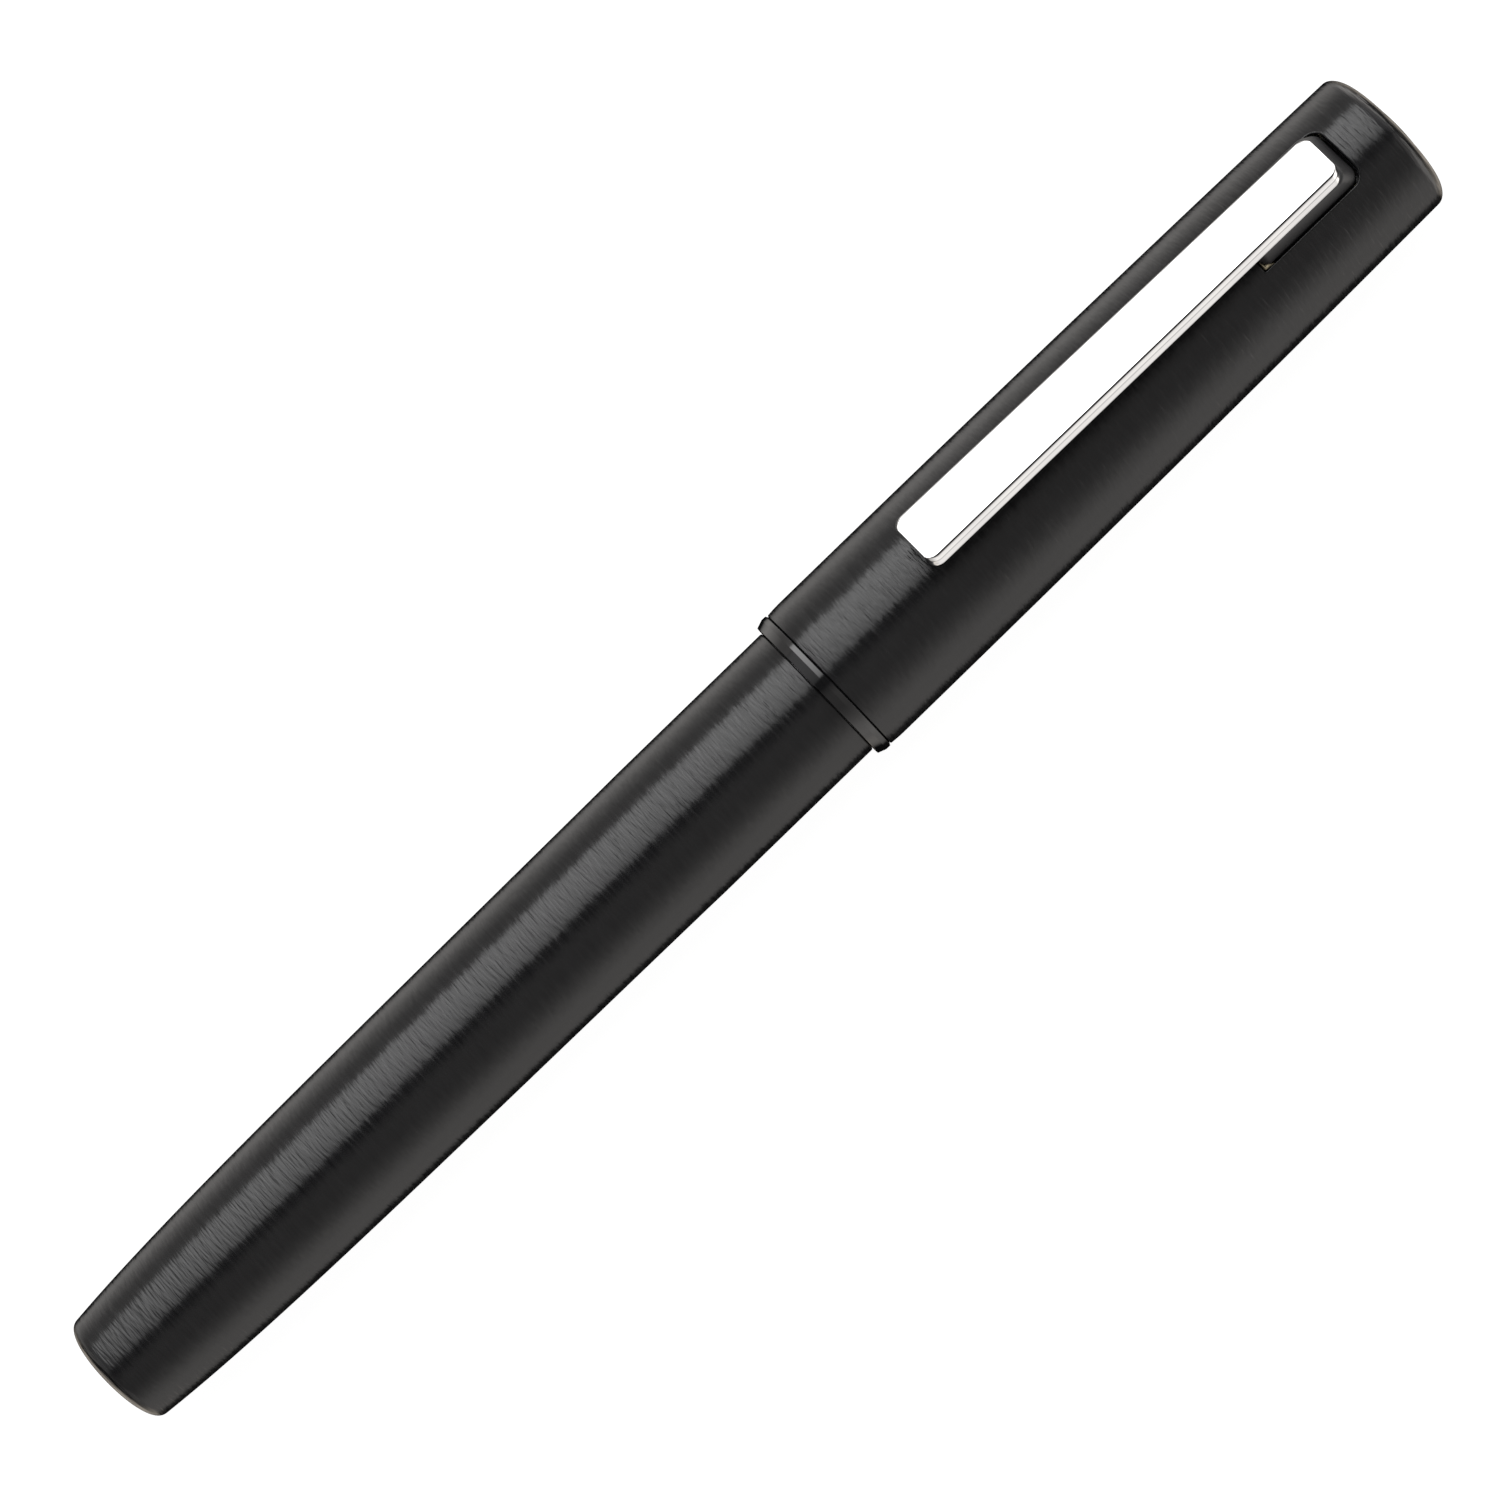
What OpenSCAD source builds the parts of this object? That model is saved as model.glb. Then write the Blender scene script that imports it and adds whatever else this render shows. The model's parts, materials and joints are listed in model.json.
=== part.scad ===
// Capped technical pen lying on its side: a snap cap with a sprung bar clip, and
// a tubular drawing point with a drop weight behind it. Millimetres.
// "Station" is the distance along the pen's axis from the barrel's closed end.
// The row frame has +X from the barrel's end to the cap's end and +Z up, with its
// origin on the table, under the middle of the pen.

/* [Pen] */
// Length of the capped pen
pen_len = 142; // [140:1:146]
// Radius of the barrel where it is a plain cylinder, near its mouth
barrel_r = 6.34; // [6.30:0.01:6.40]
// Radius of the cap ring, the thickest place
ring_r = 7.10; // [7.10:0.01:7.20]
// Radius of the cap's shell just above the ring
cap_r = 7.09; // [7.05:0.01:7.10]
// How far the cap's shell narrows towards its closed end
cap_taper = 0.51; // [0.40:0.01:0.55]

/* [Clip] */
// Length of the clip's bar
clip_len = 44.4; // [40:0.2:45]
// Width of the bar at its free end
clip_free_w = 5.28; // [5.10:0.02:5.40]
// Width of the bar at its hinge end
clip_hinge_w = 4.88; // [4.70:0.02:5.00]
// Thickness of the bar
clip_t = 1.03; // [0.93:0.05:1.13]
// Height of the bar's outer face above the pen's axis, at its hinge end
clip_hinge_h = 8.90; // [8.70:0.01:8.95]
// Height of the bar's outer face above the pen's axis, at its free end
clip_free_h = 10.39; // [10.20:0.01:10.50]

/* [Drawing point] */
// Line width, which is the outer diameter of the point's fine tube
line_w = 0.5; // [0.35:0.05:0.7]
// Free travel of the drop weight and its wire
needle_travel = 1.2; // [0.8:0.1:1.2]

/* [Hidden] */
$fn = 96;
eps = 0.01;
axis_z = ring_r;                 // the pen lies on its cap ring

// Colours
c_black = [0.13, 0.13, 0.14];
c_gloss = [0.04, 0.04, 0.05];
c_steel = [0.78, 0.79, 0.80];
c_brass = [0.80, 0.62, 0.30];
c_rubber = [0.07, 0.07, 0.07];
c_white = [0.90, 0.90, 0.88];
c_line_code = [0.42, 0.24, 0.12];   // brown is the drawing code for 0.5 mm lines
c_clear = [0.80, 0.85, 0.90, 0.45];

// Barrel
mouth = 78.1;                    // station of the barrel's mouth
plain_from = 62;                 // the barrel is a plain cylinder from here to its mouth
waist = 0.31;                    // how far the barrel narrows along its length
waist_power = 0.8;
tail_drop = 1.07;                // how much more it narrows at the closed end
tail_decay = 10;                 // and over what length
tail_round = 1.55;               // length of the rounded end
tail_power = 2.5;
barrel_bore_r = 5.0;
tail_bore_r = 4.0;
seat_r = 5.5;                    // seat of the threaded bush, and of the O-ring
seat_from = 65;
mouth_bevel = 0.12;

// Screw joint between barrel and holder
bush_from = 65.2;
bush_to = 75.2;
female_minor_r = 4.76;
female_major_r = 5.12;
male_major_r = 4.70;
male_minor_r = 4.36;
pitch = 1.0;

// Holder
core_from = 66.5;
thread_to = 75.4;
core_r = 4.5;
core_to = 110.5;
core_bore_r = 3.75;
point_thread_from = 98;
point_thread_r = 3.4;
collar_flange_from = 77.0;
collar_flange_r = 5.44;
collar_r = 5.95;
collar_from = mouth + 0.05;
grip_from = 79.1;
grip_to = 107.5;
grip_rear_r = 5.7;
grip_front_r = 4.95;
grip_waist = 0.22;               // how hollow the grip is between its ends
bead_at = 82.5;
bead_r = 5.93;
bead_half = 0.5;
groove_first = 90;
groove_count = 12;
groove_step = 1.2;
groove_w = 0.4;
groove_depth = 0.12;
code_ring_to = 109.3;
code_ring_r = 4.9;
oring_at = 76.4;
oring_section_r = 0.48;

// Ink regulator
reg_from = 70;
reg_to = 98;
spigot_to = 78;
spigot_r = 1.9;
reg_core_r = 2.6;
reg_fin_r = 3.6;
reg_fins = 11;
reg_fin_step = 1.5;
reg_fin_w = 0.7;
reg_fin_first = 79.6;
reg_bore_r = 0.8;
reg_slot_w = 0.6;

// Drawing point
flange_from = 110.7;
flange_to = 113.2;
flange_r = 4.35;
flange_flutes = 18;
cone_r = 3.7;
cone_to = 121;
cone_tip_r = 1.15;
weight_bore_r = 1.6;
weight_stop = 114.5;             // the weight comes to rest here
tube_seat_r = 0.82;
tube_from = 117;
tube_step = 123.4;
tube_base_r = 0.8;
tip_at = 128.0;
tube_bore_r = line_w / 2 * 0.62;
plug_from = 96.6;
plug_flange_to = 98;
plug_flange_r = 2.4;
weight_r = 1.35;
weight_len = 11.5;
plug_to = weight_stop - weight_len - needle_travel - 0.1;
wire_r = line_w * 0.2;
wire_proud = 0.1;

// Ink cartridge
cart_from = 22;
cart_r = 4.1;
cart_wall = 0.7;
cart_shoulder = 66;
neck_r = 3.1;
neck_to = 76.5;

// Cap
ring_from = mouth + 0.05;
ring_bevel_to = 78.85;
ring_bevel_r = 6.85;
ring_to = 79.27;
ring_groove_r = 6.86;            // the shadow line between ring and shell
ring_bore_r = 6.0;
finger_to = 84.4;
finger_count = 6;
finger_slot_w = 0.7;
finger_bump_r = 5.95;
finger_bump_at = 81.4;
finger_bump_half = 0.35;
shell_from = 79.43;
shell_edge_drop = 0.08;          // the shell's mouth edge is eased by this much
shell_edge_len = 1.5;
shell_mouth_bore_r = 6.5;
shell_step_1 = 87;
shell_bore_r = 6.15;
shell_step_2 = 118;
shell_top_bore_r = 5.7;
shell_top_inside = 139.6;
taper_len = 60;
taper_power = 2;
dome_h = 0.5;                    // the closed end is a shallow dome
dome_corner = 1.35;              // length of the corner that rounds it into the side
dome_corner_w = 2.3;             // and its width, measured across the axis

// Slot in the cap's shell, and what fills it
slot_from = 125.85;
slot_to = 136.64;
slot_half_w = 2.85;
slot_bevel = 0.1;
slot_corner = 1.1;

// Inner cap and sprung seal
inner_from = 106;
inner_flange_from = 112;
inner_r = 5.6;
inner_bore_r = 5.15;
inner_spring_bore_r = 4.1;
inner_spring_from = 115.2;
inner_wall_from = 124.7;
inner_to = 125.6;
inner_flange_r = 6.13;
thimble_r = 2.4;
thimble_bore_r = 1.6;
thimble_flange_r = 4.0;
thimble_from = 119.7;
thimble_flange_to = 120.7;
thimble_bore_to = 129.6;
thimble_to = 130.4;
seal_from = 117.7;
seal_r = 3.4;
seal_gap = 0.03;                 // between the seal's seat and the point's cone
spring_r = 3.1;
spring_wire_r = 0.22;
spring_turns = 4;

// Clip mechanism
pivot_s = 133.2;
pivot_h = 4.25;
pin_r = 0.5;
pin_half_len = 3.1;
carrier_from = 125.65;
carrier_r = shell_top_bore_r - 0.02;
carrier_bore_r = 2.75;
carrier_bore_to = 132.4;
carrier_floor_h = 2.95;
carrier_slot_half_w = 2.7;
lever_half_w = 2.0;
lever_bottom_h = 3.4;
lever_top_h = 5.3;
lever_from = 127.3;
lever_to = 136.2;
base_top_h = 8.36;                // above the base's top everywhere, which the bar's underside sets
base_shoulder_h = 6.35;           // the base's sides and far end lean in above this
base_from = 126.08;
base_to = 136.34;
base_half_w = 2.66;
base_corner = 0.95;
base_bevel = 0.5;
base_step_s = 127.3;              // nearer than this the base stands clear of the leaf's lip
base_step_h = 6.05;
base_end_bevel = 0.9;
base_side_bevel = 0.2;
clip_hinge_end = 135.4;          // station of the bar's hinge end
// How far the bar's sides lean in, and at what share of its thickness. The ends lean in less
clip_side = [[0, 0.03], [0.12, 0.56], [0.38, 0.95], [0.51, 1]];
clip_end_share = 0.25;
clip_corner = 1.1;
toe_from_end = 2.6;              // the toe that touches the cap, near the free end
toe_half_w = 1.2;
toe_r = 1.9;
rivet_r = 0.55;
rivet_stations = [128.6, 131.0];
rivet_bottom_h = 4.0;
rivet_cover = 0.5;                // metal left over a rivet's head
leaf_t = 0.2;
leaf_half_w = 2.6;
leaf_tab_s = 125.93;
leaf_lip_to = 127.0;
leaf_lip_top_h = 5.95;

clip_free_end = clip_hinge_end - clip_len;
clip_tilt = atan((clip_free_h - clip_hinge_h) / clip_len);

// ---------------------------------------------------------------- outlines

// Outer radius of the barrel at station s
function side_r(s) = barrel_r
    - (s < plain_from ? waist * pow(1 - s / plain_from, waist_power) : 0)
    - tail_drop * exp(-s / tail_decay);
function round_end(s) = s >= tail_round ? 1 : pow(1 - pow(1 - s / tail_round, tail_power), 1 / tail_power);
function barrel_outer(s) = s >= plain_from ? barrel_r : side_r(s) * round_end(s);

// Outer radius of the cap's shell, c being the distance from its closed end
function cap_side_r(c) = cap_r - cap_taper * pow(max(0, 1 - c / taper_len), taper_power);

tail_stations = [for (i = [1:9]) tail_round * pow(i / 9, 2)];
side_stations = [for (i = [1:22]) tail_round + (plain_from - tail_round) * pow(i / 22, 1.5)];
cap_stations = [for (i = [1:16])
    pen_len - dome_h - dome_corner - (pen_len - dome_h - dome_corner - shell_from - shell_edge_len) * i / 16];

// Sphere radius and corner of the cap's domed end
rim_r = cap_side_r(dome_h + dome_corner);
dome_edge_r = rim_r - dome_corner_w;
dome_sphere_r = (dome_edge_r * dome_edge_r + dome_h * dome_h) / (2 * dome_h);
function dome_point(r) = [r, pen_len - dome_sphere_r + sqrt(dome_sphere_r * dome_sphere_r - r * r)];
function corner_point(a) = [
    dome_edge_r + dome_corner_w * sin(a),
    pen_len - dome_h - dome_corner * (1 - cos(a)),
];

// ---------------------------------------------------------------- helpers

// Puts what is drawn with s along +X and the axis at height 0 into the row frame
module lay() {
    translate([-pen_len / 2, 0, axis_z]) children();
}

// A turned piece: its outline is a list of [radius, station]
module turned(outline) {
    lay() rotate([0, 90, 0]) rotate_extrude() polygon(outline);
}

// A prism along Y from an outline in stations and heights
module side_prism(outline, half_w) {
    translate([0, half_w, 0]) rotate([90, 0, 0]) linear_extrude(2 * half_w) polygon(outline);
}

// A rounded rectangle in stations and widths, drawn about its own middle line
module plan(from, to, half_w_from, half_w_to, corner) {
    hull() for (side = [-1, 1]) {
        translate([from + corner, side * (half_w_from - corner)]) circle(corner, $fn = 32);
        translate([to - corner, side * (half_w_to - corner)]) circle(corner, $fn = 32);
    }
}

// A block with its near corners cut off square to each other by a bevel, and its far corners round
module block(from, to, half_w, bevel, corner, low, high) {
    translate([0, 0, low]) linear_extrude(high - low) polygon([
        [from, bevel - half_w], [from + bevel, -half_w], [to - corner, -half_w],
        [to - corner, half_w], [from + bevel, half_w], [from, half_w - bevel],
    ]);
    translate([to - corner - eps, corner - half_w, low])
        cube([corner + eps, 2 * (half_w - corner), high - low]);
    for (side = [-1, 1])
        translate([to - corner, side * (half_w - corner), low]) cylinder(h = high - low, r = corner);
}

// Outline of a screw thread drawn as rings, from one station to another
function thread_outline(from, to, low, high) = [
    for (i = [0 : floor((to - from) / pitch) - 1], p = [[0, low], [0.25, low], [0.5, high], [0.75, high]])
        [p[1], from + (i + p[0]) * pitch],
];

// ---------------------------------------------------------------- barrel

module barrel_shell() {
    color(c_black) turned(concat(
        [[0, 0]],
        [for (s = tail_stations) [barrel_outer(s), s]],
        [for (s = side_stations) [barrel_outer(s), s]],
        [
            [barrel_r, mouth - mouth_bevel], [barrel_r - mouth_bevel, mouth],
            [seat_r, mouth], [seat_r, seat_from], [barrel_bore_r, seat_from],
            [barrel_bore_r, 9.5], [tail_bore_r, 7], [tail_bore_r, 3], [0, 2.2],
        ]
    ));
}

module barrel_bush() {
    color(c_brass) turned(concat(
        [[seat_r, bush_from], [seat_r, bush_to], [female_major_r, bush_to]],
        [for (i = [len(thread_outline(bush_from, bush_to, female_minor_r, female_major_r)) - 1 : -1 : 0])
            thread_outline(bush_from, bush_to, female_minor_r, female_major_r)[i]]
    ));
}

// ---------------------------------------------------------------- holder

module holder_core() {
    color(c_black) turned(concat(
        [[core_bore_r, core_from], [male_minor_r - 0.1, core_from]],
        thread_outline(core_from, thread_to, male_minor_r, male_major_r),
        [
            [male_minor_r, thread_to], [male_minor_r, oring_at + 0.6], [core_r, oring_at + 0.6],
            [core_r, core_to - 0.3], [core_r - 0.3, core_to],
            [point_thread_r, core_to], [point_thread_r, point_thread_from + eps],
            [core_bore_r, point_thread_from + eps],
        ]
    ));
}

module holder_collar() {
    color(c_gloss) turned([
        [core_r, collar_flange_from], [collar_flange_r, collar_flange_from],
        [collar_flange_r, collar_from], [collar_r - 0.1, collar_from], [collar_r, collar_from + 0.1],
        [collar_r, grip_from - 0.1], [collar_r - 0.1, grip_from], [core_r, grip_from],
    ]);
}

// Outer radius of the grip at station s: straight taper, made hollow in the middle
function grip_t(s) = (s - grip_from) / (grip_to - grip_from);
function grip_r(s) = grip_rear_r + (grip_front_r - grip_rear_r) * grip_t(s)
    - grip_waist * sin(180 * grip_t(s));
function groove_edges(s) = [
    [grip_r(s), s], [grip_r(s) - groove_depth, s + groove_w * 0.25],
    [grip_r(s) - groove_depth, s + groove_w * 0.75], [grip_r(s), s + groove_w],
];

module holder_grip() {
    color(c_black) turned(concat(
        [[core_r, grip_from], [grip_rear_r, grip_from]],
        [[grip_rear_r, bead_at - 2 * bead_half], [bead_r, bead_at - bead_half * 0.6]],
        [[bead_r, bead_at + bead_half * 0.6], [grip_r(bead_at + 2 * bead_half), bead_at + 2 * bead_half]],
        [for (s = [85.5, 87, 88.5]) [grip_r(s), s]],
        [for (i = [0 : groove_count - 1], p = groove_edges(groove_first + i * groove_step)) p],
        [[grip_r(105.5), 105.5], [grip_front_r, grip_to], [core_r, grip_to]]
    ));
}

module line_width_ring() {
    color(c_line_code) turned([
        [core_r, grip_to], [code_ring_r, grip_to], [code_ring_r, code_ring_to - 0.25],
        [code_ring_r - 0.2, code_ring_to], [core_r, code_ring_to],
    ]);
}

module holder_oring() {
    color(c_rubber) lay() translate([oring_at, 0, 0]) rotate([0, 90, 0])
        rotate_extrude() translate([collar_flange_r - oring_section_r, 0]) circle(oring_section_r, $fn = 32);
}

module ink_regulator() {
    reg_fin = [[0, reg_core_r], [0, reg_fin_r], [reg_fin_w, reg_fin_r], [reg_fin_w, reg_core_r]];
    color(c_white) difference() {
        turned(concat(
            [
                [reg_bore_r, reg_from], [spigot_r - 0.3, reg_from], [spigot_r, reg_from + 0.5],
                [spigot_r, spigot_to], [reg_core_r, spigot_to],
            ],
            [for (i = [0 : reg_fins - 1], p = reg_fin) [p[1], reg_fin_first + i * reg_fin_step + p[0]]],
            [
                [reg_core_r, reg_to - 1.6], [reg_fin_r, reg_to - 1.6], [reg_fin_r, reg_to],
                [plug_flange_r + 0.05, reg_to], [plug_flange_r + 0.05, plug_from - eps],
                [reg_bore_r, plug_from - eps],
            ]
        ));
        lay() translate([reg_fin_first - 0.5, -reg_slot_w / 2, reg_core_r + 0.02])
            cube([reg_to - reg_fin_first, reg_slot_w, reg_fin_r]);
    }
}

module point_body() {
    color(c_black) difference() {
        turned([
            [weight_bore_r, reg_to], [point_thread_r - 0.25, reg_to],
            [point_thread_r - 0.02, reg_to + 0.3], [point_thread_r - 0.02, core_to - 1.4],
            [point_thread_r - 0.62, core_to - 1.4], [point_thread_r - 0.62, flange_from],
            [flange_r, flange_from], [flange_r, flange_to - 0.3], [flange_r - 0.3, flange_to],
            [cone_r, flange_to], [cone_tip_r, cone_to - 0.2], [cone_tip_r - 0.2, cone_to],
            [tube_seat_r, cone_to], [tube_seat_r, weight_stop], [weight_bore_r, weight_stop],
        ]);
        lay() for (i = [0 : flange_flutes - 1]) rotate([i * 360 / flange_flutes, 0, 0])
            translate([flange_from - 1, 0, flange_r + 0.25]) rotate([0, 90, 0]) cylinder(h = 4, r = 0.45);
    }
}

module point_tube() {
    color(c_steel) turned([
        [tube_bore_r, tube_from], [tube_base_r, tube_from], [tube_base_r, tube_step - 0.6],
        [line_w / 2, tube_step], [line_w / 2, tip_at], [tube_bore_r, tip_at],
    ]);
}

module point_seal() {
    color(c_rubber) lay() translate([core_to - 0.75, 0, 0]) rotate([0, 90, 0])
        rotate_extrude() translate([point_thread_r - 0.32, 0]) circle(0.29, $fn = 32);
}

module needle_plug() {
    color(c_white) turned([
        [0.5, plug_from], [plug_flange_r, plug_from], [plug_flange_r, plug_flange_to],
        [weight_bore_r, plug_flange_to], [weight_bore_r, plug_to], [0.5, plug_to],
    ]);
}

// ---------------------------------------------------------------- needle

module drop_weight() {
    color(c_steel) turned([
        [0, weight_stop - weight_len], [weight_r - 0.25, weight_stop - weight_len],
        [weight_r, weight_stop - weight_len + 0.25], [weight_r, weight_stop - 0.25],
        [weight_r - 0.25, weight_stop], [0, weight_stop],
    ]);
}

module needle_wire() {
    color(c_steel) lay() translate([weight_stop, 0, 0]) rotate([0, 90, 0])
        cylinder(h = tip_at + wire_proud - weight_stop, r = wire_r, $fn = 24);
}

// ---------------------------------------------------------------- cartridge

module ink_cartridge() {
    color(c_clear) turned([
        [0, cart_from], [cart_r - 0.8, cart_from], [cart_r, cart_from + 0.8], [cart_r, cart_shoulder - 1],
        [cart_r - 0.3, cart_shoulder], [neck_r, cart_shoulder], [neck_r, neck_to - 0.3],
        [neck_r - 0.3, neck_to], [spigot_r + 0.02, neck_to], [spigot_r + 0.02, cart_shoulder + 2.5],
        [cart_r - cart_wall, cart_shoulder - 1], [cart_r - cart_wall, cart_from + 1.2],
        [0, cart_from + 0.9],
    ]);
}

// ---------------------------------------------------------------- cap

// The slot's plan at some half width, from one height to another
module slot_block(half_w, low, high) {
    block(slot_from, slot_to, half_w, slot_bevel, slot_corner, low, high);
}

module cap_shell() {
    color(c_black) difference() {
        turned(concat(
            [[0, pen_len]],
            [for (i = [1:7]) dome_point(dome_edge_r * i / 7)],
            [for (a = [18:18:90]) corner_point(a)],
            [for (s = cap_stations) [cap_side_r(pen_len - s), s]],
            [
                [cap_r - shell_edge_drop, shell_from], [shell_mouth_bore_r, shell_from],
                [shell_mouth_bore_r, shell_step_1], [shell_bore_r, shell_step_1],
                [shell_bore_r, shell_step_2], [shell_top_bore_r, shell_step_2],
                [shell_top_bore_r, shell_top_inside], [0, shell_top_inside],
            ]
        ));
        lay() slot_block(slot_half_w, 0, cap_r + 1);
    }
}

module cap_ring() {
    color(c_gloss) difference() {
        turned([
            [ring_bore_r, ring_from], [ring_bevel_r, ring_from], [ring_r, ring_bevel_to], [ring_r, ring_to],
            [ring_groove_r, ring_to], [ring_groove_r, shell_from], [shell_mouth_bore_r, shell_from],
            [shell_mouth_bore_r, finger_to], [ring_bore_r + 0.1, finger_to],
            [ring_bore_r, finger_bump_at + 2 * finger_bump_half],
            [finger_bump_r, finger_bump_at + finger_bump_half],
            [finger_bump_r, finger_bump_at - finger_bump_half],
            [ring_bore_r, finger_bump_at - 2 * finger_bump_half],
        ]);
        lay() for (i = [0 : finger_count - 1]) rotate([i * 360 / finger_count, 0, 0])
            translate([shell_from + 0.5, -finger_slot_w / 2, 0]) cube([finger_to, finger_slot_w, ring_r]);
    }
}

module inner_cap() {
    color(c_white) turned([
        [inner_bore_r, inner_from], [inner_bore_r + 0.15, inner_from], [inner_r, inner_from + 0.5],
        [inner_r, inner_flange_from], [inner_flange_r, inner_flange_from],
        [inner_flange_r, shell_step_2 - 0.02], [inner_r, shell_step_2 - 0.02],
        [inner_r, inner_to], [thimble_r + 0.1, inner_to], [thimble_r + 0.1, inner_wall_from],
        [inner_spring_bore_r, inner_wall_from], [inner_spring_bore_r, inner_spring_from],
        [inner_bore_r, inner_spring_from - 1],
    ]);
}

module clip_carrier() {
    color(c_gloss) difference() {
        turned([
            [carrier_bore_r, carrier_from], [carrier_r, carrier_from],
            [carrier_r, shell_top_inside - 0.1], [0, shell_top_inside - 0.1],
            [0, carrier_bore_to], [carrier_bore_r, carrier_bore_to],
        ]);
        lay() {
            slot_block(carrier_slot_half_w, carrier_floor_h, ring_r);
            translate([pivot_s, 5, pivot_h]) rotate([90, 0, 0]) cylinder(h = 10, r = pin_r);
        }
    }
}

module clip_pin() {
    color(c_steel) lay() translate([pivot_s, pin_half_len, pivot_h])
        rotate([90, 0, 0]) cylinder(h = 2 * pin_half_len, r = pin_r);
}

// Leaf spring: a lip that hooks over the slot's near end, a flat leg on the
// carrier's floor, and a free end that presses up on the lever's tail
module clip_spring() {
    floor_h = carrier_floor_h + 0.02;
    color(c_brass) lay() side_prism([
        [leaf_tab_s, floor_h], [133.6, floor_h], [136.1, lever_bottom_h - leaf_t - 0.03],
        [136.1, lever_bottom_h - 0.03], [133.5, floor_h + leaf_t],
        [leaf_tab_s + leaf_t, floor_h + leaf_t], [leaf_tab_s + leaf_t, leaf_lip_top_h - leaf_t],
        [leaf_lip_to, leaf_lip_top_h - leaf_t], [leaf_lip_to, leaf_lip_top_h], [leaf_tab_s, leaf_lip_top_h],
    ], leaf_half_w);
}

// Coil spring behind the seal, drawn as separate closed turns
module seal_spring() {
    gap = (inner_wall_from - thimble_flange_to - 2 * spring_wire_r) / (spring_turns - 1);
    color(c_steel) for (i = [0 : spring_turns - 1])
        lay() translate([thimble_flange_to + spring_wire_r + i * gap, 0, 0]) rotate([0, 90, 0])
            rotate_extrude() translate([spring_r, 0]) circle(spring_wire_r, $fn = 16);
}

// ---------------------------------------------------------------- sprung seal

module seal_thimble() {
    color(c_white) turned([
        [thimble_bore_r, thimble_from], [thimble_flange_r, thimble_from],
        [thimble_flange_r, thimble_flange_to], [thimble_r, thimble_flange_to],
        [thimble_r, thimble_to - 0.4], [thimble_r - 0.4, thimble_to], [0, thimble_to],
        [0, thimble_bore_to], [thimble_bore_r, thimble_bore_to],
    ]);
}

// Radius of the point's cone at station s
function cone_at(s) = cone_r + (cone_tip_r - cone_r) * (s - flange_to) / (cone_to - 0.2 - flange_to);

module cap_seal() {
    color(c_rubber) turned([
        [cone_at(seal_from) + seal_gap, seal_from], [seal_r, seal_from], [seal_r, thimble_from],
        [cone_at(thimble_from) + seal_gap, thimble_from],
    ]);
}

// ---------------------------------------------------------------- clip

// Height of the bar's outer face at station s
function bar_h(s) = clip_hinge_h + (clip_hinge_end - s) * tan(clip_tilt);

// A slab of the bar, from its inner face up to some height
module bar_slice(inset, high) {
    translate([clip_hinge_end, 0, clip_hinge_h]) rotate([0, clip_tilt, 0])
        translate([0, 0, -clip_t]) linear_extrude(high) plan(
            -clip_len + clip_end_share * inset, -clip_end_share * inset,
            clip_free_w / 2 - inset, clip_hinge_w / 2 - inset, clip_corner - inset
        );
}

module clip_bar() {
    toe_s = clip_free_end + toe_from_end;
    toe_bottom = cap_side_r(pen_len - toe_s) + 0.05;
    color(c_steel) lay() difference() {
        union() {
            hull() for (p = clip_side) bar_slice(p[0], clip_t * p[1]);
            intersection() {
                translate([toe_s, toe_half_w, toe_bottom + toe_r]) rotate([90, 0, 0])
                    cylinder(h = 2 * toe_half_w, r = toe_r);
                translate([toe_s - 5, -5, 0]) cube([10, 10, bar_h(toe_s) - clip_t + 0.2]);
            }
        }
        for (s = rivet_stations) translate([s, 0, 0])
            cylinder(h = bar_h(s) - rivet_cover, r = rivet_r, $fn = 32);
    }
}

module clip_base() {
    color(c_gloss) lay() difference() {
        intersection() {
            block(base_from, base_to, base_half_w, base_bevel, base_corner, lever_top_h, base_top_h);
            side_prism([
                [base_from, base_step_h], [base_step_s, base_step_h], [base_step_s, lever_top_h],
                [base_to, lever_top_h], [base_to, base_shoulder_h],
                [base_to - base_end_bevel, bar_h(base_to - base_end_bevel) - clip_t],
                [base_from, bar_h(base_from) - clip_t],
            ], base_half_w + 1);
            translate([base_from - 1, 0, 0]) rotate([90, 0, 90]) linear_extrude(base_to - base_from + 2)
                polygon([
                    [-base_half_w, lever_top_h], [base_half_w, lever_top_h], [base_half_w, base_shoulder_h],
                    [base_half_w - base_side_bevel, base_top_h], [base_side_bevel - base_half_w, base_top_h],
                    [-base_half_w, base_shoulder_h],
                ]);
        }
        for (s = rivet_stations) translate([s, 0, 0]) cylinder(h = 9, r = rivet_r, $fn = 32);
    }
}

module clip_lever() {
    color(c_steel) lay() difference() {
        side_prism([
            [lever_from, 4.2], [lever_from + 0.7, lever_bottom_h], [lever_to, lever_bottom_h],
            [lever_to, lever_top_h], [lever_from, lever_top_h],
        ], lever_half_w);
        translate([pivot_s, 5, pivot_h]) rotate([90, 0, 0]) cylinder(h = 10, r = pin_r + 0.02);
        for (s = rivet_stations) translate([s, 0, rivet_bottom_h]) cylinder(h = 9, r = rivet_r, $fn = 32);
    }
}

module clip_rivets() {
    color(c_steel) lay() for (s = rivet_stations)
        translate([s, 0, rivet_bottom_h])
            cylinder(h = bar_h(s) - rivet_cover - rivet_bottom_h, r = rivet_r, $fn = 32);
}

// ---------------------------------------------------------------- nodes

barrel_shell();
barrel_bush();
holder_core();
holder_collar();
holder_grip();
line_width_ring();
holder_oring();
ink_regulator();
point_body();
point_tube();
point_seal();
needle_plug();
drop_weight();
needle_wire();
ink_cartridge();
cap_shell();
cap_ring();
inner_cap();
clip_carrier();
clip_pin();
clip_spring();
seal_spring();
seal_thimble();
cap_seal();
clip_bar();
clip_base();
clip_lever();
clip_rivets();
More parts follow.
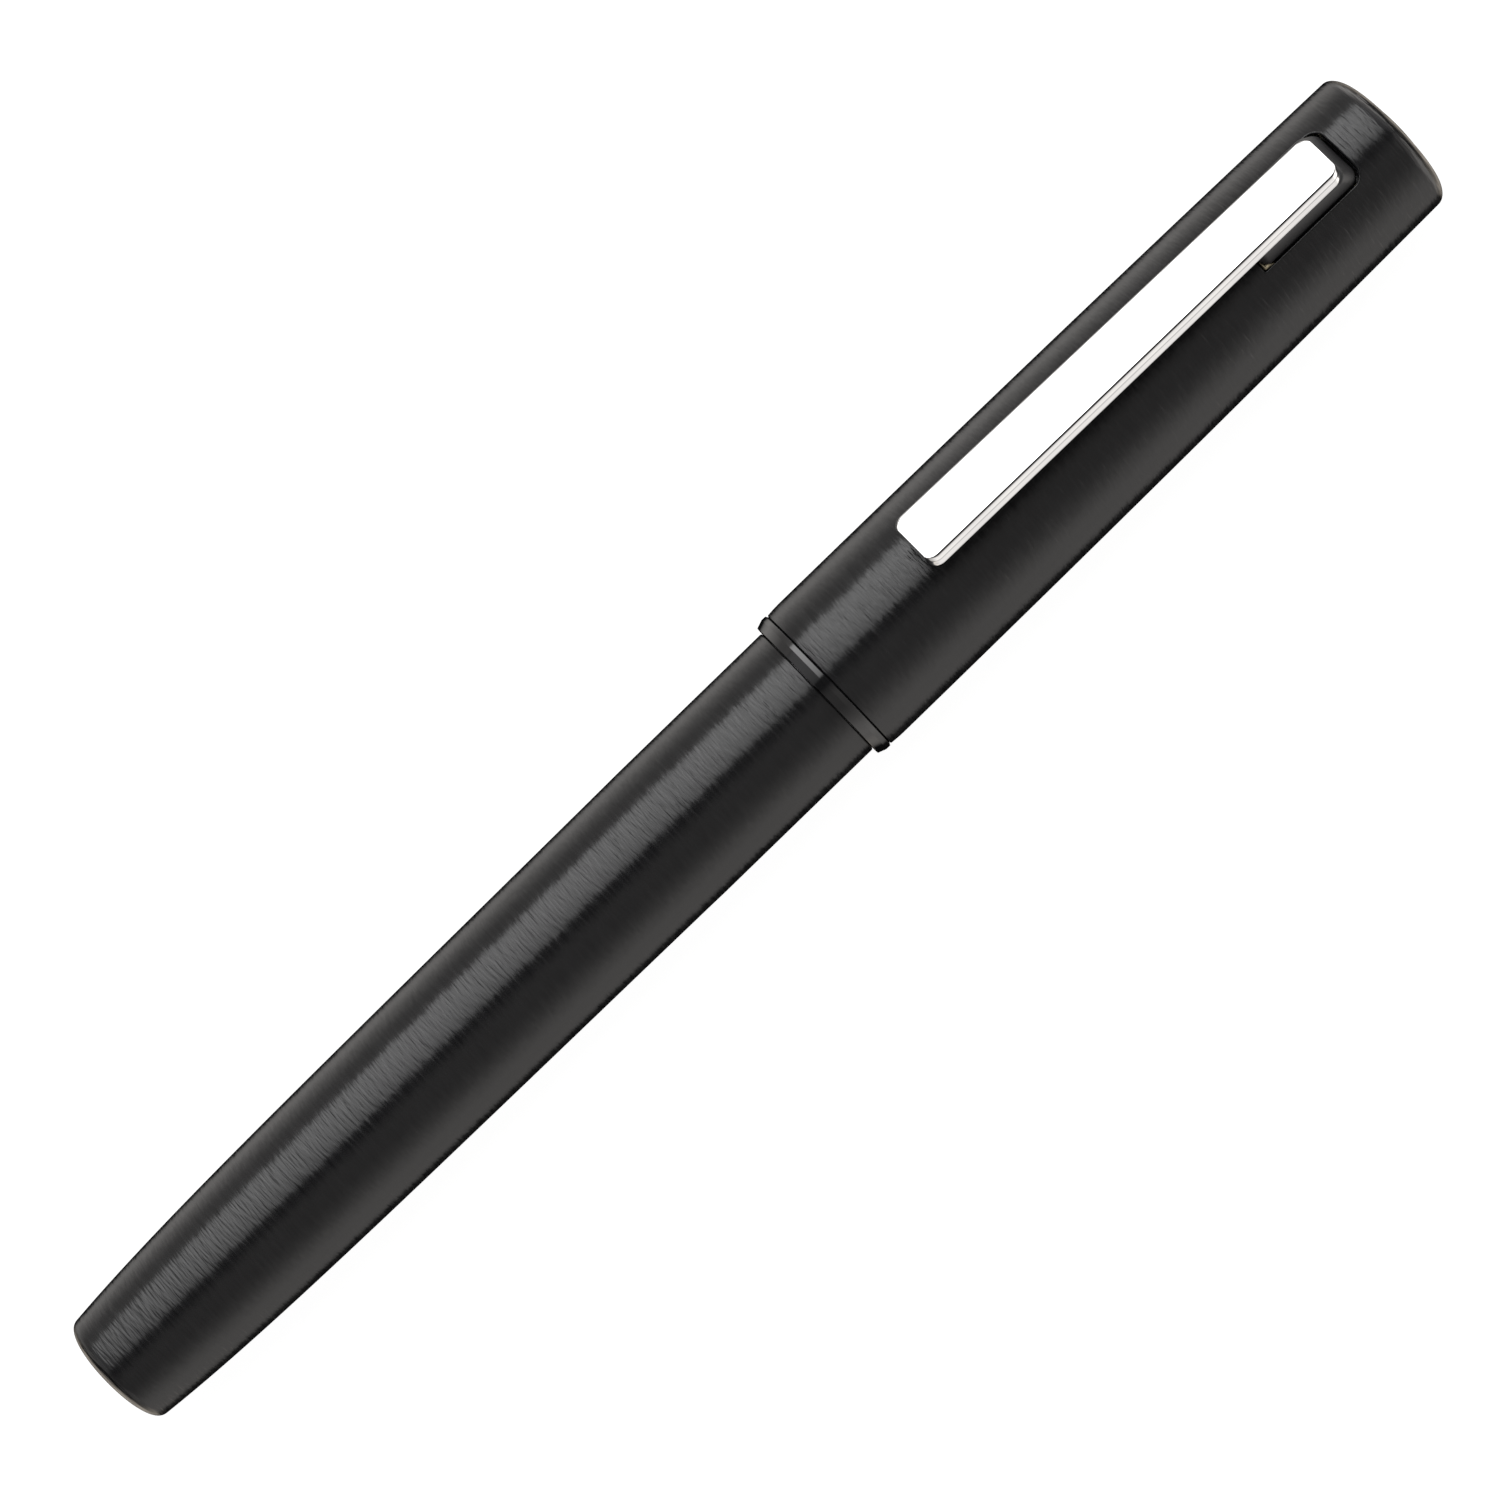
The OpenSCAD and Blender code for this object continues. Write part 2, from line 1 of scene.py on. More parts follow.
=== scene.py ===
"""Capped technical pen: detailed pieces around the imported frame.

Sizes are in millimetres, and place() turns them into the frame's metres.
"""
import json
import math

import bmesh
import bpy
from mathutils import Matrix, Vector


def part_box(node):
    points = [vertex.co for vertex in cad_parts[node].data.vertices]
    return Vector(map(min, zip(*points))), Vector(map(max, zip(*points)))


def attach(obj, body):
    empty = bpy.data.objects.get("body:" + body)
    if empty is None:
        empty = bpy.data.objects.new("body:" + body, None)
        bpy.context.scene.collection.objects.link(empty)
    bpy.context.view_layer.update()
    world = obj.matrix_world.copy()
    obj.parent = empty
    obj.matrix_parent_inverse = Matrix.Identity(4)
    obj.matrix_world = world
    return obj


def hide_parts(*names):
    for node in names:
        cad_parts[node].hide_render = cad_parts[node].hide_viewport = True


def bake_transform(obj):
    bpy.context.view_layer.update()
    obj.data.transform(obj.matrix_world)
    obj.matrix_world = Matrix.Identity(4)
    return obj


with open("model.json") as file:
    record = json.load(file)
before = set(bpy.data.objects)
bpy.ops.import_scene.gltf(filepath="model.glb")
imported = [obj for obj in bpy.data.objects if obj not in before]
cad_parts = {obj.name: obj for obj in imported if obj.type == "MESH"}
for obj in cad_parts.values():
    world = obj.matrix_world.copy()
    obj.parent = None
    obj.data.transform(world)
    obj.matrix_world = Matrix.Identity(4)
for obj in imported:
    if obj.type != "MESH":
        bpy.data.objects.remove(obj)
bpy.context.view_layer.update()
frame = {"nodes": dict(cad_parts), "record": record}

MM = 0.001
TAU = 2 * math.pi
SEGMENTS = 192                   # round a turned piece

# The pen's own coordinates are the station along its axis from the barrel's closed
# end, and the width and height from that axis, in millimetres.
TAIL_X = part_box("barrel_shell")[0].x
RING_LOW, RING_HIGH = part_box("cap_ring")
AXIS_Z = round((RING_LOW.z + RING_HIGH.z) / 2, 5)


def place(s, y, h):
    """A point of the pen's own coordinates, in metres in the frame."""
    return Vector((TAIL_X + s * MM, y * MM, AXIS_Z + h * MM))


def on_turn(r, s, angle):
    """A point at that radius and station; angle 0 is the clip's side and goes round through +Y."""
    return place(s, r * math.sin(angle), r * math.cos(angle))


# ------------------------------------------------------------------ dimensions

PEN_LEN = 142.0
# the barrel is plain near its mouth, with a slow taper and a faster drop towards its closed end
BARREL_R, PLAIN_FROM, MOUTH = 6.34, 62.0, 78.1
WAIST, WAIST_POWER = 0.31, 0.8
TAIL_DROP, TAIL_DECAY, TAIL_ROUND, TAIL_POWER = 1.07, 10.0, 1.55, 2.5
SEAT_R, SEAT_FROM, BORE_R, TAIL_BORE_R = 5.5, 65.0, 5.0, 4.0
# the cap tapers towards its closed end, and draws in a little at its mouth
CAP_R, CAP_TAPER, TAPER_LEN, TAPER_POWER = 7.09, 0.51, 60.0, 2
SHELL_FROM, SHELL_EASE, SHELL_EASE_LEN = 79.43, 0.08, 1.5
DOME_H, DOME_CORNER, DOME_CORNER_W = 0.5, 1.35, 2.3
# the slot in the cap's top, and the clip's bar over it
SLOT_FROM, SLOT_TO, SLOT_HALF, SLOT_NEAR_CORNER, SLOT_FAR_CORNER = 125.85, 136.64, 2.85, 0.1, 1.1
CLIP_END, CLIP_LEN, CLIP_T = 135.4, 44.4, 1.03
CLIP_HINGE_H, CLIP_FREE_H = 8.90, 10.39
CLIP_FREE_HALF, CLIP_HINGE_HALF, CLIP_CORNER = 2.64, 2.44, 1.1
CLIP_TILT = math.atan((CLIP_FREE_H - CLIP_HINGE_H) / CLIP_LEN)


def barrel_radius(s):
    if s >= PLAIN_FROM:
        return BARREL_R
    r = BARREL_R - WAIST * (1 - s / PLAIN_FROM) ** WAIST_POWER - TAIL_DROP * math.exp(-s / TAIL_DECAY)
    if s < TAIL_ROUND:
        r *= (1 - (1 - s / TAIL_ROUND) ** TAIL_POWER) ** (1 / TAIL_POWER)
    return r


def cap_radius(s):
    return CAP_R - CAP_TAPER * max(0.0, 1 - (PEN_LEN - s) / TAPER_LEN) ** TAPER_POWER


def bar_height(s):
    """Height of the clip bar's outer face."""
    return CLIP_HINGE_H + (CLIP_END - s) * math.tan(CLIP_TILT)


# ------------------------------------------------------------------ mesh tools

def rounded(outline, closed, steps=5):
    """Rounds each corner of an outline of (radius, station, fillet), and puts a point
    beside each arc so that smooth shading stays flat on the flat runs."""
    points = []
    count = len(outline)
    for i, (r, s, fillet) in enumerate(outline):
        here = Vector((r, s))
        if not closed and i in (0, count - 1) or fillet <= 0:
            points.append(here)
            continue
        before = Vector(outline[i - 1][:2]) - here
        after = Vector(outline[(i + 1) % count][:2]) - here
        reach = 0.45 * min(before.length, after.length)
        before.normalize()
        after.normalize()
        half = before.angle(after) / 2
        if half > math.radians(88):
            points.append(here)
            continue
        tangent = min(fillet / math.tan(half), reach)
        radius = tangent * math.tan(half)
        centre = here + (before + after).normalized() * (radius / math.sin(half))
        first, last = here + before * tangent, here + after * tangent
        if tangent < reach * 0.9:
            points.append(first + before * min(tangent * 0.5, reach - tangent))
        a0, a1 = first - centre, last - centre
        sweep = a0.angle_signed(a1)
        for k in range(steps + 1):
            turn = -sweep * k / steps
            c, sn = math.cos(turn), math.sin(turn)
            points.append(centre + Vector((a0.x * c - a0.y * sn, a0.x * sn + a0.y * c)))
        if tangent < reach * 0.9:
            points.append(last + after * min(tangent * 0.5, reach - tangent))
    return [(max(0.0, p.x), p.y) for p in points]


def finish_mesh(bm, name, body, replaced, material, sharp=35):
    """Makes a piece of the mesh. With no body, the piece is left unattached."""
    bmesh.ops.remove_doubles(bm, verts=bm.verts, dist=1e-8)
    bmesh.ops.recalc_face_normals(bm, faces=bm.faces)
    mesh = bpy.data.meshes.new(name)
    bm.to_mesh(mesh)
    bm.free()
    mesh.shade_smooth()
    mesh.set_sharp_from_angle(angle=math.radians(sharp))
    mesh.materials.append(material)
    piece = bpy.data.objects.new(name, mesh)
    bpy.context.scene.collection.objects.link(piece)
    if body:
        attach(piece, body)
    if replaced:
        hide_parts(*replaced)
    return piece


def join_rings(bm, one, two, skip=()):
    """Faces between two rings, either of which may be a single point."""
    n = max(len(one), len(two))
    if len(one) == 1 and len(two) == 1:
        return
    for j in range(n):
        if j in skip:
            continue
        k = (j + 1) % n
        if len(one) == 1:
            bm.faces.new((one[0], two[k], two[j]))
        elif len(two) == 1:
            bm.faces.new((one[j], one[k], two[0]))
        else:
            bm.faces.new((one[j], one[k], two[k], two[j]))


def ring_of(bm, r, s, segments, shape=None):
    """A ring round the axis. A shape gives the radius by station, angle and the plain radius."""
    if r < 1e-6:
        return [bm.verts.new(place(s, 0, 0))]
    return [
        bm.verts.new(on_turn(shape(s, TAU * j / segments, r) if shape else r, s, TAU * j / segments))
        for j in range(segments)
    ]


def turned(name, outline, body, replaced, material, closed=True, segments=SEGMENTS,
           shape=None, steps=5):
    """A turned piece from an outline of (radius, station, fillet)."""
    bm = bmesh.new()
    rings = [ring_of(bm, r, s, segments, shape) for r, s in rounded(outline, closed, steps)]
    for one, two in zip(rings, rings[1:] + rings[:1] if closed else rings[1:]):
        join_rings(bm, one, two)
    return finish_mesh(bm, name, body, replaced, material)


def loops_solid(bm, loops):
    """Skins closed loops of points into a solid with a flat face at each end."""
    rings = [[bm.verts.new(p) for p in loop] for loop in loops]
    for one, two in zip(rings, rings[1:]):
        join_rings(bm, one, two)
    bm.faces.new(rings[0])
    bm.faces.new(reversed(rings[-1]))


def plan_loop(x0, x1, half0, half1, corner, steps=10):
    """A rectangle with round corners, from (x0, half width half0) to (x1, half1), in millimetres."""
    points = []
    for cx, cy, start in (
        (x1 - corner, half1 - corner, 0), (x0 + corner, half0 - corner, 1),
        (x0 + corner, corner - half0, 2), (x1 - corner, corner - half1, 3),
    ):
        for k in range(steps + 1):
            a = math.pi / 2 * (start + k / steps)
            points.append((cx + corner * math.cos(a), cy + corner * math.sin(a)))
    return points


# ------------------------------------------------------------------ materials

def new_material(name):
    m = bpy.data.materials.new(name)
    m.use_nodes = True
    return m, m.node_tree, m.node_tree.nodes["Principled BSDF"]


def node(tree, kind, **values):
    n = tree.nodes.new(kind)
    for key, value in values.items():
        if key in n.inputs:
            n.inputs[key].default_value = value
        else:
            setattr(n, key, value)
    return n


def scaled_position(tree, scale):
    """The point in the piece's own coordinates, times a scale per metre along each axis."""
    position = node(tree, "ShaderNodeTexCoord")
    mapping = node(tree, "ShaderNodeMapping")
    mapping.inputs["Scale"].default_value = scale
    tree.links.new(position.outputs["Object"], mapping.inputs["Vector"])
    return mapping.outputs["Vector"]


NOISE_LOW, NOISE_HIGH = 0.3, 0.7          # nearly all of a noise texture's values lie between these


def noise(tree, scale, detail=2.0):
    """A noise texture, its scale per metre along each axis."""
    n = node(tree, "ShaderNodeTexNoise", Scale=1.0, Detail=detail, Roughness=0.5)
    tree.links.new(scaled_position(tree, scale), n.inputs["Vector"])
    return n.outputs["Fac"]


def spread(tree, value, low, high):
    """A number from low to high by a noise value."""
    n = node(tree, "ShaderNodeMapRange")
    n.inputs["From Min"].default_value = NOISE_LOW
    n.inputs["From Max"].default_value = NOISE_HIGH
    n.inputs["To Min"].default_value = low
    n.inputs["To Max"].default_value = high
    tree.links.new(value, n.inputs["Value"])
    return n.outputs["Result"]


def ramp(tree, value, low, high):
    """A colour from low to high by a noise value."""
    n = node(tree, "ShaderNodeValToRGB")
    n.color_ramp.elements[0].position = NOISE_LOW
    n.color_ramp.elements[0].color = (*low, 1)
    n.color_ramp.elements[1].position = NOISE_HIGH
    n.color_ramp.elements[1].color = (*high, 1)
    tree.links.new(value, n.inputs["Fac"])
    return n.outputs["Color"]


def bump(tree, value, distance):
    """Relief by a noise value, in metres from its lowest to its highest."""
    n = node(tree, "ShaderNodeBump", Strength=1.0, Distance=distance)
    tree.links.new(value, n.inputs["Height"])
    return n.outputs["Normal"]


def mix(tree, a, b, share):
    """Two values mixed, with that share of the second."""
    n = node(tree, "ShaderNodeMix")
    n.inputs["Factor"].default_value = share
    tree.links.new(a, n.inputs["A"])
    tree.links.new(b, n.inputs["B"])
    return n.outputs["Result"]


def turned_metal(name, low, high, metallic, rough, streak, anisotropic=0.5):
    """Metal finished on a lathe: fine lines round the axis in its colour, gloss and relief."""
    m, tree, shader = new_material(name)
    fine = noise(tree, (4800, 700, 700), detail=1.0)
    broad = noise(tree, (2200, 450, 450), detail=1.0)
    cloud = noise(tree, (160, 160, 160))
    lines = mix(tree, fine, broad, 0.4)
    tree.links.new(ramp(tree, mix(tree, lines, cloud, 0.25), low, high), shader.inputs["Base Color"])
    tree.links.new(spread(tree, lines, *rough), shader.inputs["Roughness"])
    tree.links.new(bump(tree, lines, streak), shader.inputs["Normal"])
    shader.inputs["Metallic"].default_value = metallic
    shader.inputs["Anisotropic"].default_value = anisotropic
    tangent = node(tree, "ShaderNodeTangent", direction_type="RADIAL", axis="X")
    tree.links.new(tangent.outputs["Tangent"], shader.inputs["Tangent"])
    return m


def polished(name, low, high, rough):
    """Mirror-polished plating with faint hairlines along the piece and soft smears."""
    m, tree, shader = new_material(name)
    hair = noise(tree, (120, 9000, 9000))
    smear = noise(tree, (260, 420, 420), detail=3.0)
    tree.links.new(ramp(tree, smear, low, high), shader.inputs["Base Color"])
    tree.links.new(spread(tree, mix(tree, hair, smear, 0.6), *rough), shader.inputs["Roughness"])
    tree.links.new(bump(tree, hair, 1.5e-7), shader.inputs["Normal"])
    shader.inputs["Metallic"].default_value = 1.0
    return m


def drawn_metal(name, low, high, rough, along):
    """Sheet or wire with its drawing lines along one axis."""
    m, tree, shader = new_material(name)
    scale = [9000, 9000, 9000]
    scale["XYZ".index(along)] = 300
    lines = noise(tree, tuple(scale), detail=3.0)
    stain = noise(tree, (900, 900, 900), detail=4.0)
    tree.links.new(ramp(tree, mix(tree, lines, stain, 0.5), low, high), shader.inputs["Base Color"])
    tree.links.new(spread(tree, lines, *rough), shader.inputs["Roughness"])
    tree.links.new(bump(tree, lines, 1e-6), shader.inputs["Normal"])
    shader.inputs["Metallic"].default_value = 1.0
    return m


def moulded(name, low, high, rough, grain, grain_scale=9000, coat=0.0, specular=0.5):
    """Moulded resin: a spark-eroded grain, and a slow drift in colour and gloss."""
    m, tree, shader = new_material(name)
    pits = noise(tree, (grain_scale,) * 3)
    drift = noise(tree, (300, 300, 300), detail=3.0)
    tree.links.new(ramp(tree, mix(tree, pits, drift, 0.6), low, high), shader.inputs["Base Color"])
    tree.links.new(spread(tree, mix(tree, pits, drift, 0.5), *rough), shader.inputs["Roughness"])
    tree.links.new(bump(tree, pits, grain), shader.inputs["Normal"])
    shader.inputs["Coat Weight"].default_value = coat
    shader.inputs["Coat Roughness"].default_value = 0.05
    shader.inputs["Specular IOR Level"].default_value = specular
    return m


def translucent(name, tint):
    """Blow-moulded polypropylene: milky, with faint flow lines along the wall."""
    m, tree, shader = new_material(name)
    flow = noise(tree, (60, 700, 700))
    tree.links.new(ramp(tree, flow, [c * 0.95 for c in tint], tint), shader.inputs["Base Color"])
    tree.links.new(spread(tree, flow, 0.20, 0.28), shader.inputs["Roughness"])
    tree.links.new(bump(tree, flow, 1e-6), shader.inputs["Normal"])
    shader.inputs["Transmission Weight"].default_value = 0.72
    shader.inputs["IOR"].default_value = 1.49
    return m


ANODISED = turned_metal("anodised_black", (0.008, 0.008, 0.009), (0.014, 0.014, 0.015), 0.0,
                        (0.13, 0.26), 8.0e-5, anisotropic=0.0)
BRASS_THREAD = turned_metal("brass_turned", (0.60, 0.43, 0.17), (0.72, 0.54, 0.25), 1.0, (0.22, 0.34), 1.5e-6)
POINT_STEEL = turned_metal("steel_ground", (0.56, 0.57, 0.58), (0.70, 0.71, 0.72), 1.0, (0.18, 0.28), 8e-7)
CHROME = polished("chrome_polished", (0.90, 0.90, 0.91), (0.95, 0.95, 0.95), (0.03, 0.08))
CLIP_STEEL = drawn_metal("steel_stamped", (0.42, 0.43, 0.44), (0.60, 0.61, 0.62), (0.28, 0.42), "X")
SPRING_BRASS = drawn_metal("brass_strip", (0.95, 0.82, 0.54), (1.0, 0.90, 0.66), (0.16, 0.26), "Z")
GLOSS = moulded("resin_gloss_black", (0.006, 0.006, 0.007), (0.010, 0.010, 0.011), (0.06, 0.12), 1e-7,
                specular=0.95)
BLACK_RESIN = moulded("resin_black", (0.022, 0.022, 0.024), (0.034, 0.034, 0.037), (0.34, 0.46), 3e-6)
CLIP_RESIN = moulded("resin_clip_base", (0.024, 0.024, 0.025), (0.036, 0.036, 0.038), (0.30, 0.42), 2e-6)
GRIP_RESIN = moulded("resin_grip", (0.026, 0.026, 0.028), (0.040, 0.040, 0.043), (0.48, 0.60), 6e-6, 5000)
POINT_RESIN = moulded("resin_point", (0.030, 0.030, 0.032), (0.044, 0.044, 0.047), (0.36, 0.48), 3e-6)
LINER_RESIN = moulded("resin_liner", (0.54, 0.54, 0.52), (0.64, 0.64, 0.62), (0.38, 0.50), 3e-6)
WHITE_RESIN = moulded("resin_white", (0.72, 0.72, 0.69), (0.80, 0.80, 0.78), (0.34, 0.44), 2e-6)
CODE_RESIN = moulded("resin_line_code", (0.20, 0.085, 0.030), (0.27, 0.125, 0.050), (0.12, 0.20), 4e-7,
                     coat=0.5)
ELASTOMER = moulded("elastomer_black", (0.018, 0.018, 0.018), (0.030, 0.030, 0.030), (0.62, 0.78), 5e-6, 7000)
CARTRIDGE = translucent("polypropylene_clear", (0.84, 0.87, 0.90))

SLOT_MATERIAL = {
    "black_anodised": ANODISED, "gloss_black": GLOSS, "black_resin": BLACK_RESIN, "grip_resin": GRIP_RESIN,
    "clip_resin": CLIP_RESIN, "point_resin": POINT_RESIN, "liner_resin": LINER_RESIN,
    "white_resin": WHITE_RESIN, "line_code_brown": CODE_RESIN, "cartridge_clear": CARTRIDGE,
    "elastomer": ELASTOMER, "brass_thread": BRASS_THREAD, "spring_brass": SPRING_BRASS,
    "clip_steel": CLIP_STEEL, "point_steel": POINT_STEEL, "polished_chrome": CHROME,
}

# Every CAD node that stays takes the finish of its slot
for part in frame["record"]["subparts"]:
    mesh = frame["nodes"][part["node"]].data
    mesh.materials.clear()
    mesh.materials.append(SLOT_MATERIAL[part["material_slot"]])

# ------------------------------------------------------------------ barrel

tail_stations = [TAIL_ROUND * (i / 28) ** 2 for i in range(1, 29)]
side_stations = [TAIL_ROUND + (PLAIN_FROM - TAIL_ROUND) * (i / 60) ** 1.4 for i in range(1, 61)]
tail = [(0.0, 0.0, 0)] + [(barrel_radius(s), s, 0) for s in tail_stations]
side = [(barrel_radius(s), s, 0) for s in side_stations]
turned("barrel_shell_turned", tail + side + [
    (BARREL_R, MOUTH, 0.14), (SEAT_R, MOUTH, 0.12), (SEAT_R, SEAT_FROM, 0.1), (BORE_R, SEAT_FROM, 0.1),
    (BORE_R, 9.5, 0.3), (TAIL_BORE_R, 7.0, 0.3), (TAIL_BORE_R, 3.0, 0.3), (0.0, 2.2, 0),
], "barrel", ["barrel_shell"], ANODISED, closed=False, segments=256)

# ------------------------------------------------------------------ cap ring

RING_FROM, RING_TO, RING_BORE, RING_R = 78.15, 79.42, 6.0, 7.10
RING_BEVEL_R, RING_BEVEL_TO = 6.85, 78.85
RING_GROOVE_R, RING_GROOVE_FROM = 6.84, 79.26
FINGERS, FINGER_R, FINGER_FROM, FINGER_TO, FINGER_SLIT = 6, 6.5, 79.92, 84.4, 0.7
FINGER_OVERLAP = 0.05            # how far the fingers reach into the ring's sleeve


def cap_ring():
    """The gloss ring, and behind it the snap fingers that the shell hides."""
    bm = bmesh.new()
    segments = 240
    outline = [
        (RING_BORE, RING_FROM, 0.08), (RING_BEVEL_R, RING_FROM, 0.05), (RING_R, RING_BEVEL_TO, 0.02),
        (RING_R, RING_GROOVE_FROM, 0.02), (RING_GROOVE_R, RING_TO, 0.0), (FINGER_R, RING_TO, 0.0),
        (FINGER_R, FINGER_FROM, 0.0), (RING_BORE, FINGER_FROM, 0.0),
    ]
    rings = [ring_of(bm, r, s, segments) for r, s in rounded(outline, True)]
    for one, two in zip(rings, rings[1:] + rings[:1]):
        join_rings(bm, one, two)
    # a finger's outline, with the snap bump on its inside
    finger = [
        (FINGER_R, FINGER_FROM - FINGER_OVERLAP), (FINGER_R, FINGER_TO - 0.1), (6.4, FINGER_TO),
        (6.1, FINGER_TO), (RING_BORE, 82.1), (5.96, 81.85), (5.95, 81.7), (5.95, 81.1), (5.96, 80.95),
        (RING_BORE, 80.7), (RING_BORE, FINGER_FROM - FINGER_OVERLAP),
    ]
    half_slit = math.asin(FINGER_SLIT / 2 / 6.2)
    steps = 20
    for f in range(FINGERS):
        a0, a1 = TAU * f / FINGERS + half_slit, TAU * (f + 1) / FINGERS - half_slit
        sections = []
        for k in range(steps + 1):
            a = a0 + (a1 - a0) * k / steps
            sections.append([bm.verts.new(on_turn(r, s, a)) for r, s in finger])
        for one, two in zip(sections, sections[1:]):
            join_rings(bm, one, two)
        bm.faces.new(sections[0])
        bm.faces.new(reversed(sections[-1]))
    return finish_mesh(bm, "cap_ring_moulded", "cap", ["cap_ring"], GLOSS)


cap_ring()

# ------------------------------------------------------------------ cap shell

WINDOW_SEGMENTS = 20             # the slot's patch spans this many segments each side of the top
WINDOW_FROM, WINDOW_TO, WINDOW_ROWS = 124.2, 138.4, 26
SHELL_MOUTH_BORE, SHELL_MOUTH_TO = 6.5, 87.0
SHELL_BORE, SHELL_BORE_TO = 6.15, 118.0
SHELL_TOP_BORE, SHELL_TOP_INSIDE = 5.7, 139.6


def slot_loop(grow):
    """The slot's outline grown by that much, as (station, width), matching the window's edge."""
    s0, s1, half = SLOT_FROM - grow, SLOT_TO + grow, SLOT_HALF + grow
    near, far = SLOT_NEAR_CORNER + grow, SLOT_FAR_CORNER + grow
    arc = 5

    def edge(start, end, count):
        return [(start[0] + (end[0] - start[0]) * k / count, start[1] + (end[1] - start[1]) * k / count)
                for k in range(count + 1)]

    def quarter(corner, cs, cy, a0, a1):
        return [(cs + corner * math.cos(a), cy + corner * math.sin(a))
                for a in (math.radians(a0 + (a1 - a0) * k / arc) for k in range(arc + 1))]

    across, along = 2 * WINDOW_SEGMENTS - 2 * arc, WINDOW_ROWS - 2 * arc
    loop = []
    # from the middle of the near corner at -Y: across, along, back across and back along
    loop += quarter(near, s0 + near, near - half, 225, 180)[:-1]
    loop += edge((s0, near - half), (s0, half - near), across)[:-1]
    loop += quarter(near, s0 + near, half - near, 180, 135)[:-1]
    loop += quarter(near, s0 + near, half - near, 135, 90)[:-1]
    loop += edge((s0 + near, half), (s1 - far, half), along)[:-1]
    loop += quarter(far, s1 - far, half - far, 90, 45)[:-1]
    loop += quarter(far, s1 - far, half - far, 45, 0)[:-1]
    loop += edge((s1, half - far), (s1, far - half), across)[:-1]
    loop += quarter(far, s1 - far, far - half, 0, -45)[:-1]
    loop += quarter(far, s1 - far, far - half, -45, -90)[:-1]
    loop += edge((s1 - far, -half), (s0 + near, -half), along)[:-1]
    loop += quarter(near, s0 + near, near - half, 270, 225)[:-1]
    return loop


def shell_sheet(bm, outline):
    """One side of the shell's wall, with a window round the slot. Returns its rings and the window's edge."""
    rings, stations = [], []
    for r, s in outline:
        rings.append(ring_of(bm, r, s, SEGMENTS))
        stations.append(s)
    inside = [i for i, s in enumerate(stations) if WINDOW_FROM - 1e-6 <= s <= WINDOW_TO + 1e-6]
    first, last = min(inside), max(inside)
    hidden = set(range(-WINDOW_SEGMENTS, WINDOW_SEGMENTS))
    skip = {j % SEGMENTS for j in hidden}
    for i in range(len(rings) - 1):
        join_rings(bm, rings[i], rings[i + 1], skip if first <= i < last else ())
    near, far = (first, last) if stations[first] < stations[last] else (last, first)
    step = 1 if far > near else -1
    w = WINDOW_SEGMENTS
    edge = [rings[near][j % SEGMENTS] for j in range(-w, w)]
    edge += [rings[i][w] for i in range(near, far, step)]
    edge += [rings[far][j % SEGMENTS] for j in range(w, -w, -1)]
    edge += [rings[i][-w % SEGMENTS] for i in range(far, near, -step)]
    for i in range(first + 1, last):
        for j in range(-w + 1, w):
            bm.verts.remove(rings[i][j % SEGMENTS])
    return rings, edge


def edge_place(v):
    """The station and angle of a vertex of the sheet."""
    return (v.co.x - TAIL_X) / MM, math.atan2(v.co.y, v.co.z - AXIS_Z)


def patch(bm, edge, loop, radius_at, rings=7):
    """Fills between the window's edge and a loop on the wall. Returns the loop's vertices."""
    targets = [(s, math.asin(y / radius_at(s))) for s, y in loop]
    sources = [edge_place(v) for v in edge]
    previous = edge
    for k in range(1, rings + 1):
        t = 1 - (1 - k / rings) ** 1.4
        current = []
        for (s0, a0), (s1, a1) in zip(sources, targets):
            s, a = s0 + (s1 - s0) * t, a0 + (a1 - a0) * t
            current.append(bm.verts.new(on_turn(radius_at(s), s, a)))
        join_rings(bm, previous, current)
        previous = current
    return previous


